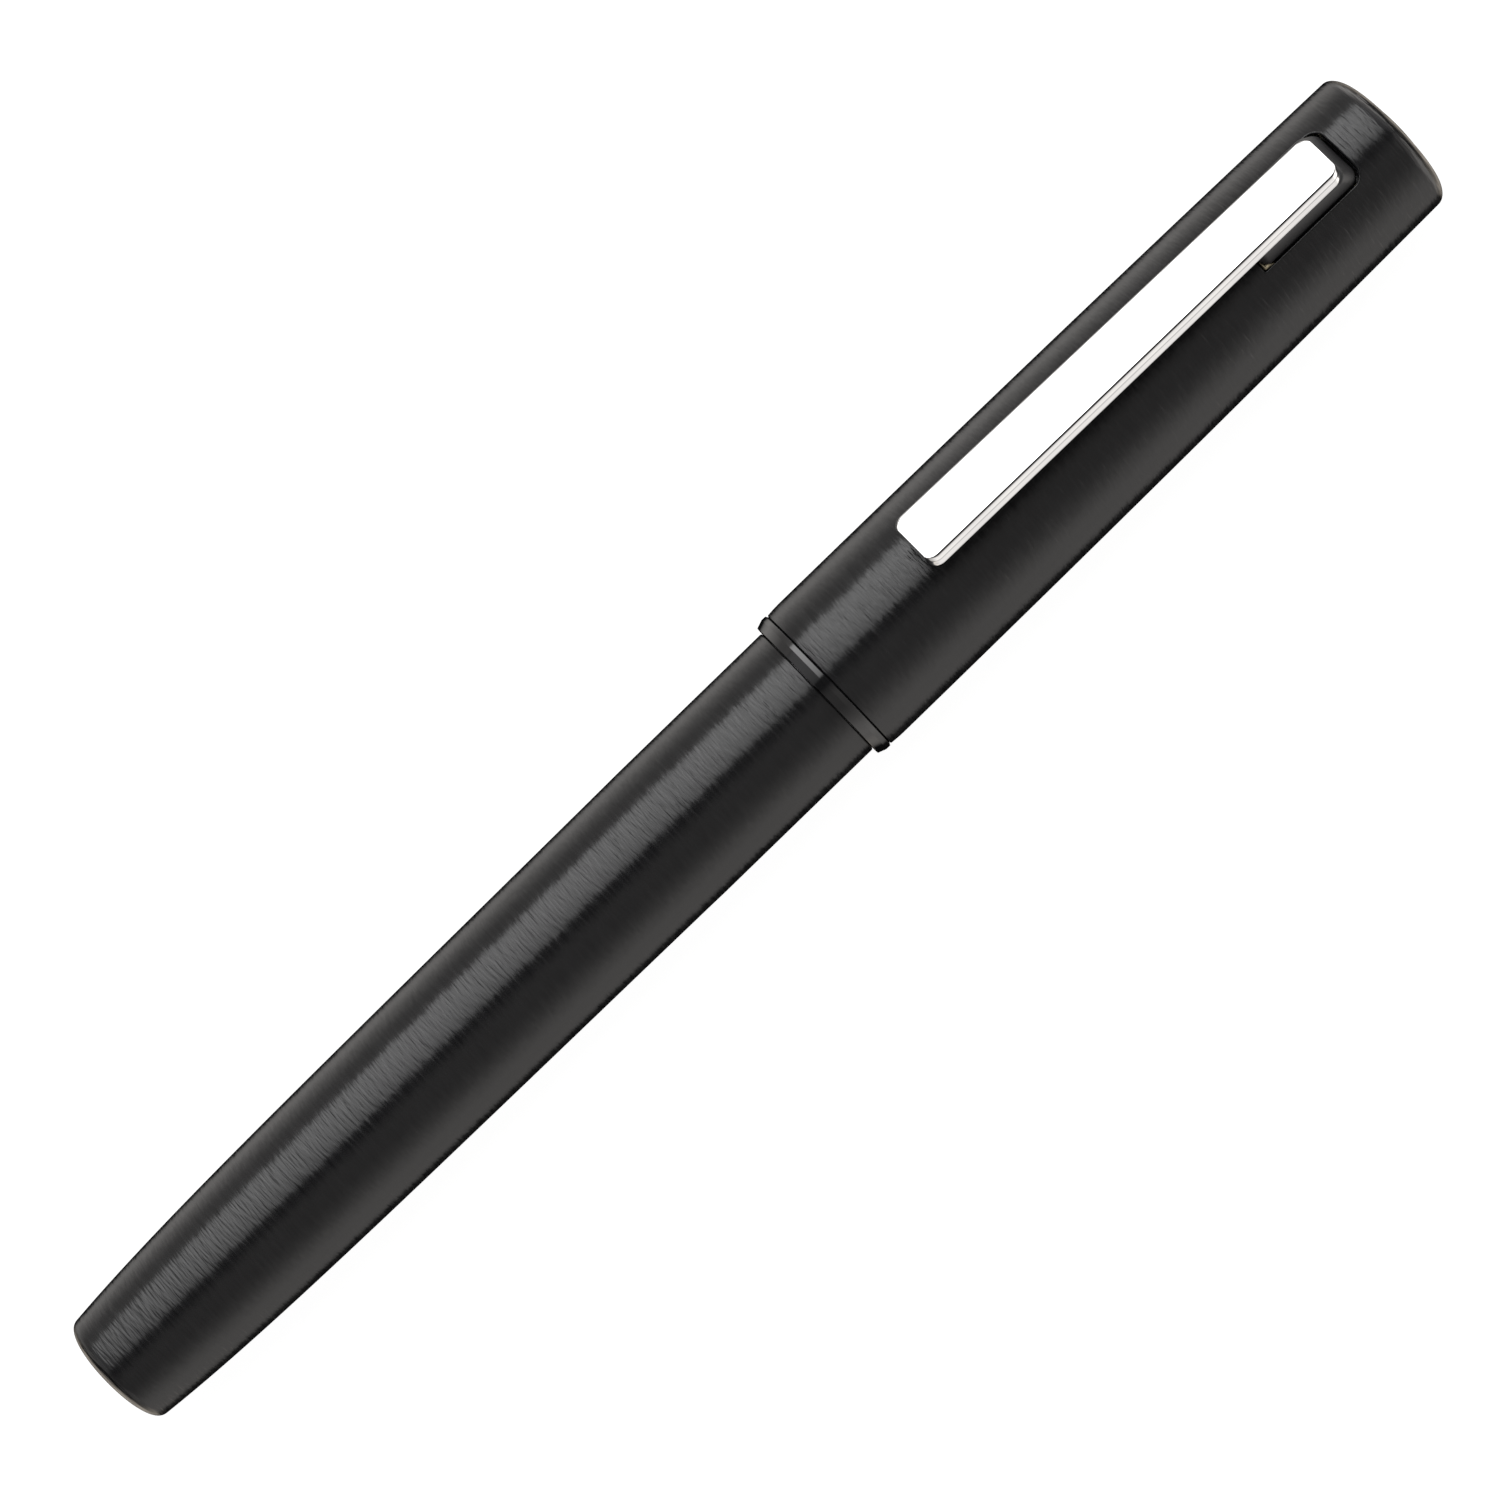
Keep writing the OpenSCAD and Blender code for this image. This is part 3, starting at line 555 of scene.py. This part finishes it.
def cap_shell():
    """The cap's turned shell, with the slot that the clip's base block stands in."""
    bm = bmesh.new()
    rows = [WINDOW_FROM + (WINDOW_TO - WINDOW_FROM) * i / WINDOW_ROWS for i in range(WINDOW_ROWS + 1)]

    def eased(s):
        t = max(0.0, 1 - (s - SHELL_FROM) / SHELL_EASE_LEN)
        return cap_radius(s) - SHELL_EASE * t * t

    # outside, from the mouth to the middle of the closed end
    mouth_steps = [SHELL_FROM + 0.08 + 1.42 * (i / 8) for i in range(9)]
    middle_from = 81.5
    middle = [middle_from + (WINDOW_FROM - middle_from) * i / 30 for i in range(30)]
    rim = PEN_LEN - DOME_H - DOME_CORNER
    rim_r = cap_radius(rim)
    dome_edge = rim_r - DOME_CORNER_W
    sphere = (dome_edge ** 2 + DOME_H ** 2) / (2 * DOME_H)
    end = [(rim_r - DOME_CORNER_W * (1 - math.sin(a)), PEN_LEN - DOME_H - DOME_CORNER * (1 - math.cos(a)))
           for a in (math.pi / 2 * (1 - i / 20) for i in range(0, 20))]
    crown = [dome_edge * (1 - i / 8) for i in range(9)]
    end += [(r, PEN_LEN - sphere + math.sqrt(sphere ** 2 - r ** 2)) for r in crown]
    outer = [(eased(SHELL_FROM) - 0.05, SHELL_FROM), (eased(SHELL_FROM) - 0.015, SHELL_FROM + 0.015)]
    outer += [(eased(s), s) for s in mouth_steps + middle + rows]
    outer += [(cap_radius(s), s) for s in (138.9, 139.4)] + end
    outer_rings, outer_edge = shell_sheet(bm, outer)

    # inside, from the mouth to the middle of the closed end
    beside = 0.1
    inner = [(SHELL_MOUTH_BORE, s) for s in (SHELL_FROM, SHELL_MOUTH_TO - beside, SHELL_MOUTH_TO)]
    inner += [(SHELL_BORE, s) for s in (SHELL_MOUTH_TO, SHELL_MOUTH_TO + beside)]
    inner += [(SHELL_BORE, s) for s in (SHELL_BORE_TO - beside, SHELL_BORE_TO)]
    inner += [(SHELL_TOP_BORE, s) for s in (SHELL_BORE_TO, SHELL_BORE_TO + beside, 121.0)]
    inner += [(SHELL_TOP_BORE, s) for s in rows]
    inner += [(SHELL_TOP_BORE, SHELL_TOP_INSIDE), (0.0, SHELL_TOP_INSIDE)]
    inner_rings, inner_edge = shell_sheet(bm, inner)
    join_rings(bm, outer_rings[0], inner_rings[0])

    # the slot: a rounded outer rim, then its wall
    rim_fillet = 0.15
    previous = patch(bm, outer_edge, slot_loop(rim_fillet * 1.6), cap_radius)
    for grow, depth in [(rim_fillet, 0.0)] + [
        (rim_fillet * (1 - math.sin(a)), rim_fillet * (1 - math.cos(a)))
        for a in (math.pi / 8 * k for k in range(1, 5))
    ]:
        current = []
        for s, y in slot_loop(grow):
            h = math.sqrt(cap_radius(s) ** 2 - y ** 2) - depth
            current.append(bm.verts.new(place(s, y, h)))
        join_rings(bm, previous, current)
        previous = current
    bottom = patch(bm, inner_edge, slot_loop(0.0), lambda s: SHELL_TOP_BORE, rings=4)
    join_rings(bm, previous, bottom)
    return finish_mesh(bm, "cap_shell_turned", "cap", ["cap_shell"], ANODISED)


cap_shell()

# ------------------------------------------------------------------ clip

def clip_point(x, y, z):
    """A point on the bar: x back from its hinge end, z up from its inner face, in millimetres."""
    c, sn = math.cos(CLIP_TILT), math.sin(CLIP_TILT)
    z -= CLIP_T
    return place(CLIP_END + x * c + z * sn, y, CLIP_HINGE_H - x * sn + z * c)


def bar_loop(inset, z):
    """The bar's outline at one height. Its sides lean in by the inset, and its ends by less."""
    points = []
    for x, y in plan_loop(-CLIP_LEN, 0, CLIP_FREE_HALF, CLIP_HINGE_HALF, CLIP_CORNER):
        middle = -CLIP_LEN / 2
        along = max(0.0, abs(x - middle) - (CLIP_LEN / 2 - CLIP_CORNER)) / CLIP_CORNER
        across = math.sqrt(max(0.0, 1 - along * along))
        share = BAR_END_SHARE + (1 - BAR_END_SHARE) * across
        lean = inset * share
        points.append((x - math.copysign(along * lean, x - middle), y - math.copysign(across * lean, y)))
    return [clip_point(x, y, z) for x, y in points]


# How the bar's side turns over from its face: the slope in degrees where each stretch
# starts and ends, and the stretch's length
BAR_EDGE = [
    (0, 13, 0.03), (13, 18, 0.14), (18, 40, 0.03), (54, 61, 0.36), (66, 84, 0.12), (84, 70, 0.05),
    (69, 66, 0.55),
]
BAR_END_SHARE = 0.25             # how much of the sides' lean the bar's two ends have
TOE_BACK, TOE_HALF, TOE_R, TOE_RIM, TOE_CLEAR = CLIP_LEN - 2.6, 1.2, 1.9, 0.15, 0.05


def bar_edge(steps=5):
    """The side's outline as (inset from the widest place, depth below the face), from the face down."""
    inset, depth, line = 0.0, 0.0, [(0.0, 0.0)]
    for start, end, length in BAR_EDGE:
        for k in range(steps):
            slope = math.radians(start + (end - start) * (k + 0.5) / steps)
            inset -= length / steps * math.cos(slope)
            depth += length / steps * math.sin(slope)
            line.append((inset, depth))
    return [(x - inset, d) for x, d in line if d < CLIP_T - 0.025]


def clip_bar():
    """The polished bar, its sides rolled down from the flat face, and the toe that presses on the cap."""
    bm = bmesh.new()
    edge = bar_edge()
    face = edge[0][0]
    loops = [bar_loop(0.3, 0.0), bar_loop(0.05, 0.0), bar_loop(0.02, 0.008)]
    loops += [bar_loop(inset, CLIP_T - depth) for inset, depth in reversed(edge)]
    loops += [bar_loop(face + 0.03, CLIP_T), bar_loop(face + 0.3, CLIP_T)]
    loops_solid(bm, loops)
    # the toe, a half drum with rounded rims, let into the bar's inner face
    toe_s = CLIP_END - TOE_BACK
    toe_h = cap_radius(toe_s) + TOE_CLEAR + TOE_R
    span = math.radians(50)
    rim_share = TOE_RIM * 0.3
    loops = []
    for y, shrink in ((-TOE_HALF, TOE_RIM), (-TOE_HALF + rim_share, rim_share), (-TOE_HALF + TOE_RIM, 0.0),
                      (TOE_HALF - TOE_RIM, 0.0), (TOE_HALF - rim_share, rim_share), (TOE_HALF, TOE_RIM)):
        radius = TOE_R - shrink
        arc = [(toe_s + radius * math.sin(a), toe_h - radius * math.cos(a))
               for a in (span * (k / 10 - 1) for k in range(21))]
        top = bar_height(toe_s) - CLIP_T + 0.2
        arc += [(arc[-1][0], top), (arc[0][0], top)]
        loops.append([place(s, y, h) for s, h in arc])
    loops_solid(bm, loops)
    return finish_mesh(bm, "clip_bar_polished", "clip", ["clip_bar"], CHROME)


clip_bar()

BASE_FROM, BASE_TO, BASE_HALF, BASE_CORNER, BASE_BEVEL = 126.08, 136.34, 2.66, 0.95, 0.5
BASE_ARC = 8                     # steps in each far corner
BASE_BOTTOM, BASE_SHOULDER, BASE_END_BEVEL, BASE_SIDE_BEVEL, BASE_TOP = 5.3, 6.35, 0.9, 0.2, 8.36
BASE_STEP_S, BASE_STEP_H, BASE_STEP_LEAN = 127.3, 6.05, 0.05


def base_plan(end, half):
    """The block's outline as (station, width): far corners round, near corners bevelled."""
    corner = BASE_CORNER
    far = [(end - corner + corner * math.cos(a), half - corner + corner * math.sin(a))
           for a in (math.pi / 2 * k / BASE_ARC for k in range(BASE_ARC + 1))]
    near = [(BASE_STEP_S + BASE_STEP_LEAN, half), (BASE_STEP_S, half), (BASE_FROM + BASE_BEVEL + 0.1, half),
            (BASE_FROM + BASE_BEVEL, half - 0.02), (BASE_FROM + 0.02, half - BASE_BEVEL),
            (BASE_FROM, half - BASE_BEVEL - 0.1)]
    one_side = far + near
    return one_side + [(s, -y) for s, y in reversed(one_side)]


def clip_base():
    """The resin block under the bar's hinge end. Its top follows the bar, and its end slopes away."""
    bm = bmesh.new()

    def bottom(s):
        return BASE_BOTTOM if s > BASE_STEP_S + BASE_STEP_LEAN / 2 else BASE_STEP_H

    def loop(level, inset):
        # level 0 is the bottom, 1 the shoulder where the bevels start, 2 the top
        lift = max(0.0, level - 1)
        out = []
        for s, y in base_plan(BASE_TO, BASE_HALF):
            low = bottom(s)
            if s > BASE_STEP_S + BASE_STEP_LEAN:
                s -= (BASE_END_BEVEL * lift + inset) * (s - BASE_STEP_S) / (BASE_TO - BASE_STEP_S)
            elif s < BASE_STEP_S:
                s += inset * (BASE_STEP_S - s) / (BASE_STEP_S - BASE_FROM)
            top = bar_height(s) - CLIP_T
            h = low + (BASE_SHOULDER - low) * min(level, 1) + (top - BASE_SHOULDER) * lift
            lean = BASE_SIDE_BEVEL * max(0.0, h - BASE_SHOULDER) / (BASE_TOP - BASE_SHOULDER)
            y *= (BASE_HALF - lean - inset) / BASE_HALF
            out.append(bm.verts.new(place(s, y, h)))
        return out

    levels = [(0.0, 0.06), (0.06, 0.0), (0.94, 0.0), (1.06, 0.0), (1.9, 0.0), (1.96, 0.02), (2.0, 0.08)]
    rings = [loop(level, inset) for level, inset in levels]
    for one, two in zip(rings, rings[1:]):
        join_rings(bm, one, two)
    bm.faces.new(rings[-1])
    # the bottom in two flats with a step between them
    low, count = rings[0], len(rings[0])
    step = BASE_ARC + 1
    bm.faces.new([low[k] for k in range(-step - 1, step + 1)])
    bm.faces.new((low[step], low[step + 1], low[count - step - 2], low[count - step - 1]))
    bm.faces.new(low[step + 1:count - step - 1])
    return finish_mesh(bm, "clip_base_moulded", "clip", ["clip_base"], CLIP_RESIN)


clip_base()

LEAF_HALF, LEAF_T, LEAF_TAB_S, LEAF_LIP_TO, LEAF_LIP_TOP, LEAF_LEG_LOW = 2.6, 0.2, 125.93, 127.0, 5.95, 2.97
LEAF_WING, LEAF_WING_SLOPE = 0.75, 0.40   # the lip's pressed-down edges
LEAF_LIP_FALL = 0.60                      # how far the lip's end leans down
LEAF_BEND_FROM, LEAF_END_S, LEAF_END_H = 132.0, 136.1, 3.27


def clip_leaf():
    """The brass leaf spring: a lip over the slot's near end, a flat leg and a raised free end."""
    leg, tab = LEAF_LEG_LOW + LEAF_T / 2, LEAF_TAB_S + LEAF_T / 2
    mid = [
        (LEAF_LIP_TO, LEAF_LIP_TOP - LEAF_LIP_FALL, 0), (tab, LEAF_LIP_TOP - LEAF_T / 2, 0.12),
        (tab, leg, 0.25), (133.55, leg, 1.2), (LEAF_END_S, LEAF_END_H, 0),
    ]
    line = [Vector(p) for p in rounded(mid, False, 8)]
    upper, lower = [], []
    for i, p in enumerate(line):
        along = (line[min(i + 1, len(line) - 1)] - line[max(i - 1, 0)]).normalized()
        across = Vector((-along.y, along.x)) * LEAF_T / 2
        upper.append(p + across)
        lower.append(p - across)
    outline = upper + lower[::-1]
    bm = bmesh.new()

    def section(y):
        # the lip's two edges are pressed down a little
        drop = max(0.0, abs(y) - LEAF_HALF + LEAF_WING) * LEAF_WING_SLOPE
        return [place(p.x, y, p.y - (drop if p.y > LEAF_LIP_TOP - 4 * LEAF_T else 0)) for p in outline]

    inner = LEAF_HALF - LEAF_WING
    beside = 0.02
    loops_solid(bm, [section(y) for y in (-LEAF_HALF, beside - LEAF_HALF, -inner - beside, beside - inner,
                                          inner - beside, inner + beside, LEAF_HALF - beside, LEAF_HALF)])
    leaf = finish_mesh(bm, "clip_leaf_spring", None, ["clip_spring"], SPRING_BRASS, 50)
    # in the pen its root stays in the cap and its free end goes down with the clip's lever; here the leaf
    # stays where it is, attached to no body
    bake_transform(leaf)
    return leaf


clip_leaf()

# ------------------------------------------------------------------ holder

CORE_R, CORE_FROM, CORE_TO, CORE_BORE = 4.5, 66.5, 110.5, 3.75
CORE_FRONT_BORE, CORE_FRONT_FROM = 3.4, 98.0
PRESSED_R = CORE_R + 0.005       # the bore of the pieces pressed on the core
THREAD_FROM, THREAD_TO, THREAD_LOW, THREAD_HIGH, PITCH = CORE_FROM + 0.2, 75.4, 4.36, 4.70, 1.0
THREAD_FOOT, THREAD_FLANK = 0.36, 0.2     # half a thread's foot and its flank, in pitches
THREAD_FADE, THREAD_STEP = 0.8, 0.06
COLLAR_FROM, COLLAR_STEP, COLLAR_TO, COLLAR_R, COLLAR_RIM_R = 77.0, 78.15, 79.1, 5.44, 5.95


def thread_shape(s, angle, r):
    """A real helix between the thread's root and crest, run out at both ends."""
    if not THREAD_FROM < s < THREAD_TO or r < CORE_BORE + 0.2:
        return r
    turn = ((s - CORE_FROM) / PITCH - angle / TAU) % 1.0
    rise = min(1.0, max(0.0, (THREAD_FOOT - abs(turn - 0.5)) / THREAD_FLANK))
    fade = min(1.0, (s - THREAD_FROM) / THREAD_FADE, (THREAD_TO - s) / THREAD_FADE)
    return THREAD_LOW + (THREAD_HIGH - THREAD_LOW) * rise * fade


thread_count = int((THREAD_TO - THREAD_FROM - 0.2) / THREAD_STEP)
thread_rows = []
for i in range(thread_count + 1):
    thread_rows.append((THREAD_LOW, THREAD_FROM + (THREAD_TO - THREAD_FROM) * i / thread_count, 0))
core_start = [(CORE_BORE, CORE_FROM, 0.1), (THREAD_LOW - 0.1, CORE_FROM, 0.05)]
turned("holder_core_threaded", core_start + thread_rows + [
    (THREAD_LOW, COLLAR_FROM, 0.05), (CORE_R, COLLAR_FROM, 0.05), (CORE_R, CORE_TO, 0.28),
    (CORE_FRONT_BORE, CORE_TO, 0.12), (CORE_FRONT_BORE, CORE_FRONT_FROM, 0.0),
    (CORE_BORE, CORE_FRONT_FROM, 0.0),
], "holder", ["holder_core"], BLACK_RESIN, segments=128, shape=thread_shape)

turned("holder_collar_moulded", [
    (PRESSED_R, COLLAR_FROM, 0.03), (COLLAR_R, COLLAR_FROM, 0.06), (COLLAR_R, COLLAR_STEP, 0.02),
    (COLLAR_RIM_R, COLLAR_STEP, 0.1), (COLLAR_RIM_R, COLLAR_TO, 0.1), (PRESSED_R, COLLAR_TO, 0.03),
], "holder", ["holder_collar"], GLOSS)

GRIP_FROM, GRIP_TO, GRIP_REAR, GRIP_FRONT, GRIP_WAIST = COLLAR_TO, 107.5, 5.7, 4.95, 0.22
BEAD_R, BEAD_FROM, BEAD_TO = 5.93, 82.2, 82.8          # the bead that the cap's fingers snap over
GROOVES, GROOVE_FROM, GROOVE_PITCH, GROOVE_DEEP = 12, 90, 1.2, 0.12
WIDTH_RING_R, WIDTH_RING_TO = 4.9, 109.3


def grip_radius(s):
    """The grip narrows towards the point, with a slight waist."""
    t = (s - GRIP_FROM) / (GRIP_TO - GRIP_FROM)
    return GRIP_REAR + (GRIP_FRONT - GRIP_REAR) * t - GRIP_WAIST * math.sin(math.pi * t)


grip = [(PRESSED_R, GRIP_FROM, 0), (GRIP_REAR, GRIP_FROM, 0.08), (GRIP_REAR, 81.5, 0.2),
        (BEAD_R, BEAD_FROM, 0.2), (BEAD_R, BEAD_TO, 0.2), (grip_radius(83.5), 83.5, 0.2)]
grip += [(grip_radius(s), s, 0) for s in (84.5, 85.5, 86.5, 87.5, 88.5, 89.4)]
for i in range(GROOVES):
    s = GROOVE_FROM + GROOVE_PITCH * i
    deep = grip_radius(s) - GROOVE_DEEP
    grip += [(grip_radius(s), s, 0.06), (deep, s + 0.1, 0.04),
             (deep, s + 0.3, 0.04), (grip_radius(s + 0.4), s + 0.4, 0.06)]
grip += [(grip_radius(105.0), 105.0, 0), (grip_radius(106.2), 106.2, 0), (GRIP_FRONT, GRIP_TO, 0.1),
         (PRESSED_R, GRIP_TO, 0)]
turned("holder_grip_moulded", grip, "holder", ["holder_grip"], GRIP_RESIN, steps=4)

turned("line_width_ring_moulded", [
    (PRESSED_R, GRIP_TO, 0), (WIDTH_RING_R, GRIP_TO, 0.06), (WIDTH_RING_R, WIDTH_RING_TO, 0.25),
    (PRESSED_R, WIDTH_RING_TO, 0),
], "holder", ["line_width_ring"], CODE_RESIN)

# ------------------------------------------------------------------ drawing point

FLANGE_R, FLANGE_FROM, FLANGE_TO = 4.35, 110.7, 113.2
FLUTES, FLUTE_OUT, FLUTE_R = 18, 0.25, 0.45
POINT_FROM, POINT_TO, POINT_BORE, POINT_BORE_TO = 98.0, 121.0, 1.6, 114.5
TUBE_FROM, TUBE_TO, TUBE_R, TUBE_TIP_R, TUBE_BORE = 117.0, 128.0, 0.8, 0.25, 0.155


def fluted(s, angle, r):
    """Scallops round the point's flange, for the key that unscrews it."""
    if not FLANGE_FROM - 0.1 < s < FLANGE_TO + 0.1 or r < FLANGE_R - 0.4:
        return r
    pitch = TAU / FLUTES
    off = (angle + pitch / 2) % pitch - pitch / 2
    centre = FLANGE_R + FLUTE_OUT
    side = centre * math.sin(off)
    if abs(side) >= FLUTE_R:
        return r
    return min(r, centre * math.cos(off) - math.sqrt(FLUTE_R ** 2 - side ** 2))


turned("point_body_moulded", [
    (POINT_BORE, POINT_FROM, 0), (3.15, POINT_FROM, 0), (3.38, 98.3, 0), (3.38, 109.1, 0.03),
    (2.78, 109.1, 0.03), (2.78, FLANGE_FROM, 0.03), (FLANGE_R, FLANGE_FROM, 0.12),
    (FLANGE_R, FLANGE_TO, 0.28), (3.7, FLANGE_TO, 0.2), (1.15, 120.8, 0.15), (0.95, POINT_TO, 0.05),
    (0.82, POINT_TO, 0.03), (0.82, POINT_BORE_TO, 0), (POINT_BORE, POINT_BORE_TO, 0),
], "holder", ["point_body"], POINT_RESIN, segments=288, shape=fluted)

turned("point_tube_ground", [
    (TUBE_BORE, TUBE_FROM, 0), (TUBE_R, TUBE_FROM, 0.05), (TUBE_R, 122.8, 0.1), (TUBE_TIP_R, 123.4, 0.06),
    (TUBE_TIP_R, TUBE_TO, 0.03), (TUBE_BORE, TUBE_TO, 0),
], "holder", ["point_tube"], POINT_STEEL, segments=96)

# ------------------------------------------------------------------ cartridge

INK_FROM, INK_TO, INK_R, INK_BORE = 22.0, 76.5, 4.1, 3.4
INK_NECK_R, INK_NECK_BORE = 3.1, 1.92

turned("ink_cartridge_moulded", [
    (0.0, INK_FROM, 0), (INK_R, INK_FROM, 0.8), (INK_R, 65.0, 0.3), (3.8, 66.0, 0.15),
    (INK_NECK_R, 66.0, 0.12), (INK_NECK_R, INK_TO, 0.28),
    (INK_NECK_BORE, INK_TO, 0.05), (INK_NECK_BORE, 68.5, 0.1), (INK_BORE, 65.0, 0.3), (INK_BORE, 23.2, 0.5),
    (0.0, INK_FROM + 0.9, 0),
], "cartridge", ["ink_cartridge"], CARTRIDGE, closed=False)

# ------------------------------------------------------------------ floor, light and camera

SHEET_GLOW = 0.96


def floor():
    """A white sheet, lit from behind like a light table, so that the pen stands out clean."""
    bm = bmesh.new()
    bmesh.ops.create_grid(bm, x_segments=1, y_segments=1, size=1.5)
    mesh = bpy.data.meshes.new("floor")
    bm.to_mesh(mesh)
    bm.free()
    m, tree, shader = new_material("floor_white")
    shader.inputs["Roughness"].default_value = 0.9
    shader.inputs["Specular IOR Level"].default_value = 0.0
    shader.inputs["Emission Color"].default_value = (1, 1, 1, 1)
    shader.inputs["Emission Strength"].default_value = SHEET_GLOW
    speck = noise(tree, (900, 900, 900), detail=3.0)
    tree.links.new(ramp(tree, speck, (0.21, 0.21, 0.21), (0.23, 0.23, 0.23)), shader.inputs["Base Color"])
    mesh.materials.append(m)
    o = bpy.data.objects.new("floor", mesh)
    bpy.context.scene.collection.objects.link(o)
    # the sheet lets the light from below through to the pen, so only the camera sees it
    o.visible_diffuse = o.visible_glossy = o.visible_transmission = o.visible_shadow = False


floor()

# The light tent round the pen: how bright its main panel and its sides are at each angle
# from straight up towards +Y, and how each fades along the pen's own direction
PANEL = [(-7.8, 0.0), (-6.6, 1.22), (1, 1.72), (12, 2.18), (27, 2.62), (44, 2.75), (49, 2.4), (52.5, 0.0)]
PANEL_FADE = [
    (-0.78, 0.26), (-0.52, 0.16), (-0.30, 0.62), (-0.17, 1.0), (-0.06, 1.0), (0.03, 1.10), (0.09, 1.2),
    (0.17, 1.5), (0.27, 1.1), (0.45, 0.20), (0.78, 0.30),
]
SIDES = [
    (-180, 0.0), (-157, 0.0), (-148, 0.38), (-138, 0.60), (-128, 0.72), (-112, 0.98), (-96, 0.90),
    (-85, 0.64), (-74, 0.44), (-60, 0.29), (-45, 0.31), (-35, 0.32), (-26, 0.20), (-20, 0.03),
    (49, 0.03), (54, 0.56), (62, 0.46), (73, 0.47), (87, 0.78), (103, 1.0), (112, 1.0),
    (124, 0.60), (135, 0.0), (180, 0.0),
]
SIDES_FADE = [(-0.65, 0.7), (-0.35, 1.0), (0.35, 1.0), (0.60, 1.9), (1.0, 2.1)]
# The warm light from below, by the height of its direction: where it starts and where it is full.
# It only lies towards the pen's two ends.
UNDER_FROM, UNDER_FULL = -0.5, -0.85
UNDER_SIDE = [(0.25, 0.0), (0.5, 0.32)]
TENT_TOP = 3.0                   # the brightest level a ramp can hold
SIDE_TINT, UNDER_TINT = (1, 0.968, 0.935), (1, 0.90, 0.78)


def level_ramp(tree, value, stops, low, high, tint=(1, 1, 1)):
    """A brightness, as a share of TENT_TOP, by a value that runs from low to high."""
    n = node(tree, "ShaderNodeValToRGB")
    for i, (at, level) in enumerate(stops):
        stop = n.color_ramp.elements[i] if i < 2 else n.color_ramp.elements.new(1.0)
        stop.position = (at - low) / (high - low)
        stop.color = (*(level / TENT_TOP * c for c in tint), 1)
    tree.links.new(value, n.inputs["Fac"])
    return n.outputs["Color"]


def maths(tree, operation, *values):
    """One sum on numbers or sockets."""
    n = node(tree, "ShaderNodeMath", operation=operation)
    for socket, value in zip(n.inputs, values):
        if isinstance(value, (int, float)):
            socket.default_value = value
        else:
            tree.links.new(value, socket)
    return n.outputs["Value"]


def light_tent():
    """The main panel, the sides and the light from below, added up. Each is a colour times a fade."""
    world = bpy.data.worlds.new("light_tent")
    bpy.context.scene.world = world
    world.use_nodes = True
    tree = world.node_tree
    way = node(tree, "ShaderNodeTexCoord")
    parts = node(tree, "ShaderNodeSeparateXYZ")
    tree.links.new(way.outputs["Generated"], parts.inputs["Vector"])
    angle = maths(tree, "ARCTAN2", parts.outputs["Y"], parts.outputs["Z"])
    turn = maths(tree, "MULTIPLY_ADD", angle, 1 / TAU, 0.5)
    share = maths(tree, "MULTIPLY_ADD", parts.outputs["X"], 0.5, 0.5)
    aside = maths(tree, "ABSOLUTE", parts.outputs["X"])
    under = node(tree, "ShaderNodeMapRange")
    under.inputs["From Min"].default_value = UNDER_FROM
    under.inputs["From Max"].default_value = UNDER_FULL
    tree.links.new(parts.outputs["Z"], under.inputs["Value"])
    warm = level_ramp(tree, turn, [(-180, TENT_TOP), (180, TENT_TOP)], -180, 180, UNDER_TINT)
    lights = [
        (level_ramp(tree, turn, PANEL, -180, 180), level_ramp(tree, share, PANEL_FADE, -1, 1)),
        (level_ramp(tree, turn, SIDES, -180, 180, SIDE_TINT), level_ramp(tree, share, SIDES_FADE, -1, 1)),
        (warm, maths(tree, "MULTIPLY", level_ramp(tree, aside, UNDER_SIDE, 0, 1), under.outputs["Result"])),
    ]
    total = None
    for colour, fade in lights:
        light = node(tree, "ShaderNodeBackground")
        tree.links.new(colour, light.inputs["Color"])
        tree.links.new(maths(tree, "MULTIPLY", fade, TENT_TOP * TENT_TOP), light.inputs["Strength"])
        if total is None:
            total = light.outputs["Background"]
            continue
        both = node(tree, "ShaderNodeAddShader")
        tree.links.new(total, both.inputs[0])
        tree.links.new(light.outputs["Background"], both.inputs[1])
        total = both.outputs["Shader"]
    tree.links.new(total, tree.nodes["World Output"].inputs["Surface"])


light_tent()

AXIS = (0.0, 0.0, AXIS_Z)        # the middle of the pen
ROLL = math.radians(17.5)        # how far the camera stands round from straight above the clip
SLANT = math.radians(44.157)     # the pen's slope across the picture
CAMERA_FAR = 0.5
SHOWN_WIDTH = 0.11858            # what the picture spans at the pen, in metres
OFF_RIGHT, OFF_UP = 0.000215, -0.00030   # from the picture's middle to the pen's, in metres

camera = bpy.data.cameras.new("camera")
camera_object = bpy.data.objects.new("camera", camera)
bpy.context.scene.collection.objects.link(camera_object)
back = Vector((0, -math.sin(ROLL), math.cos(ROLL)))
across = Vector((0, math.cos(ROLL), math.sin(ROLL)))
along = Vector((1, 0, 0))
right = math.cos(SLANT) * along - math.sin(SLANT) * across
up = math.sin(SLANT) * along + math.cos(SLANT) * across
eye = Vector(AXIS) + back * CAMERA_FAR - right * OFF_RIGHT - up * OFF_UP
matrix = camera_object.matrix_world.copy()
for i in range(3):
    matrix[i][0], matrix[i][1], matrix[i][2], matrix[i][3] = right[i], up[i], back[i], eye[i]
camera_object.matrix_world = matrix
camera.sensor_width = 36
camera.lens = camera.sensor_width * CAMERA_FAR / SHOWN_WIDTH
camera.clip_start, camera.clip_end = 0.01, 10
bpy.context.scene.camera = camera_object

bpy.context.scene.view_settings.view_transform = "Standard"
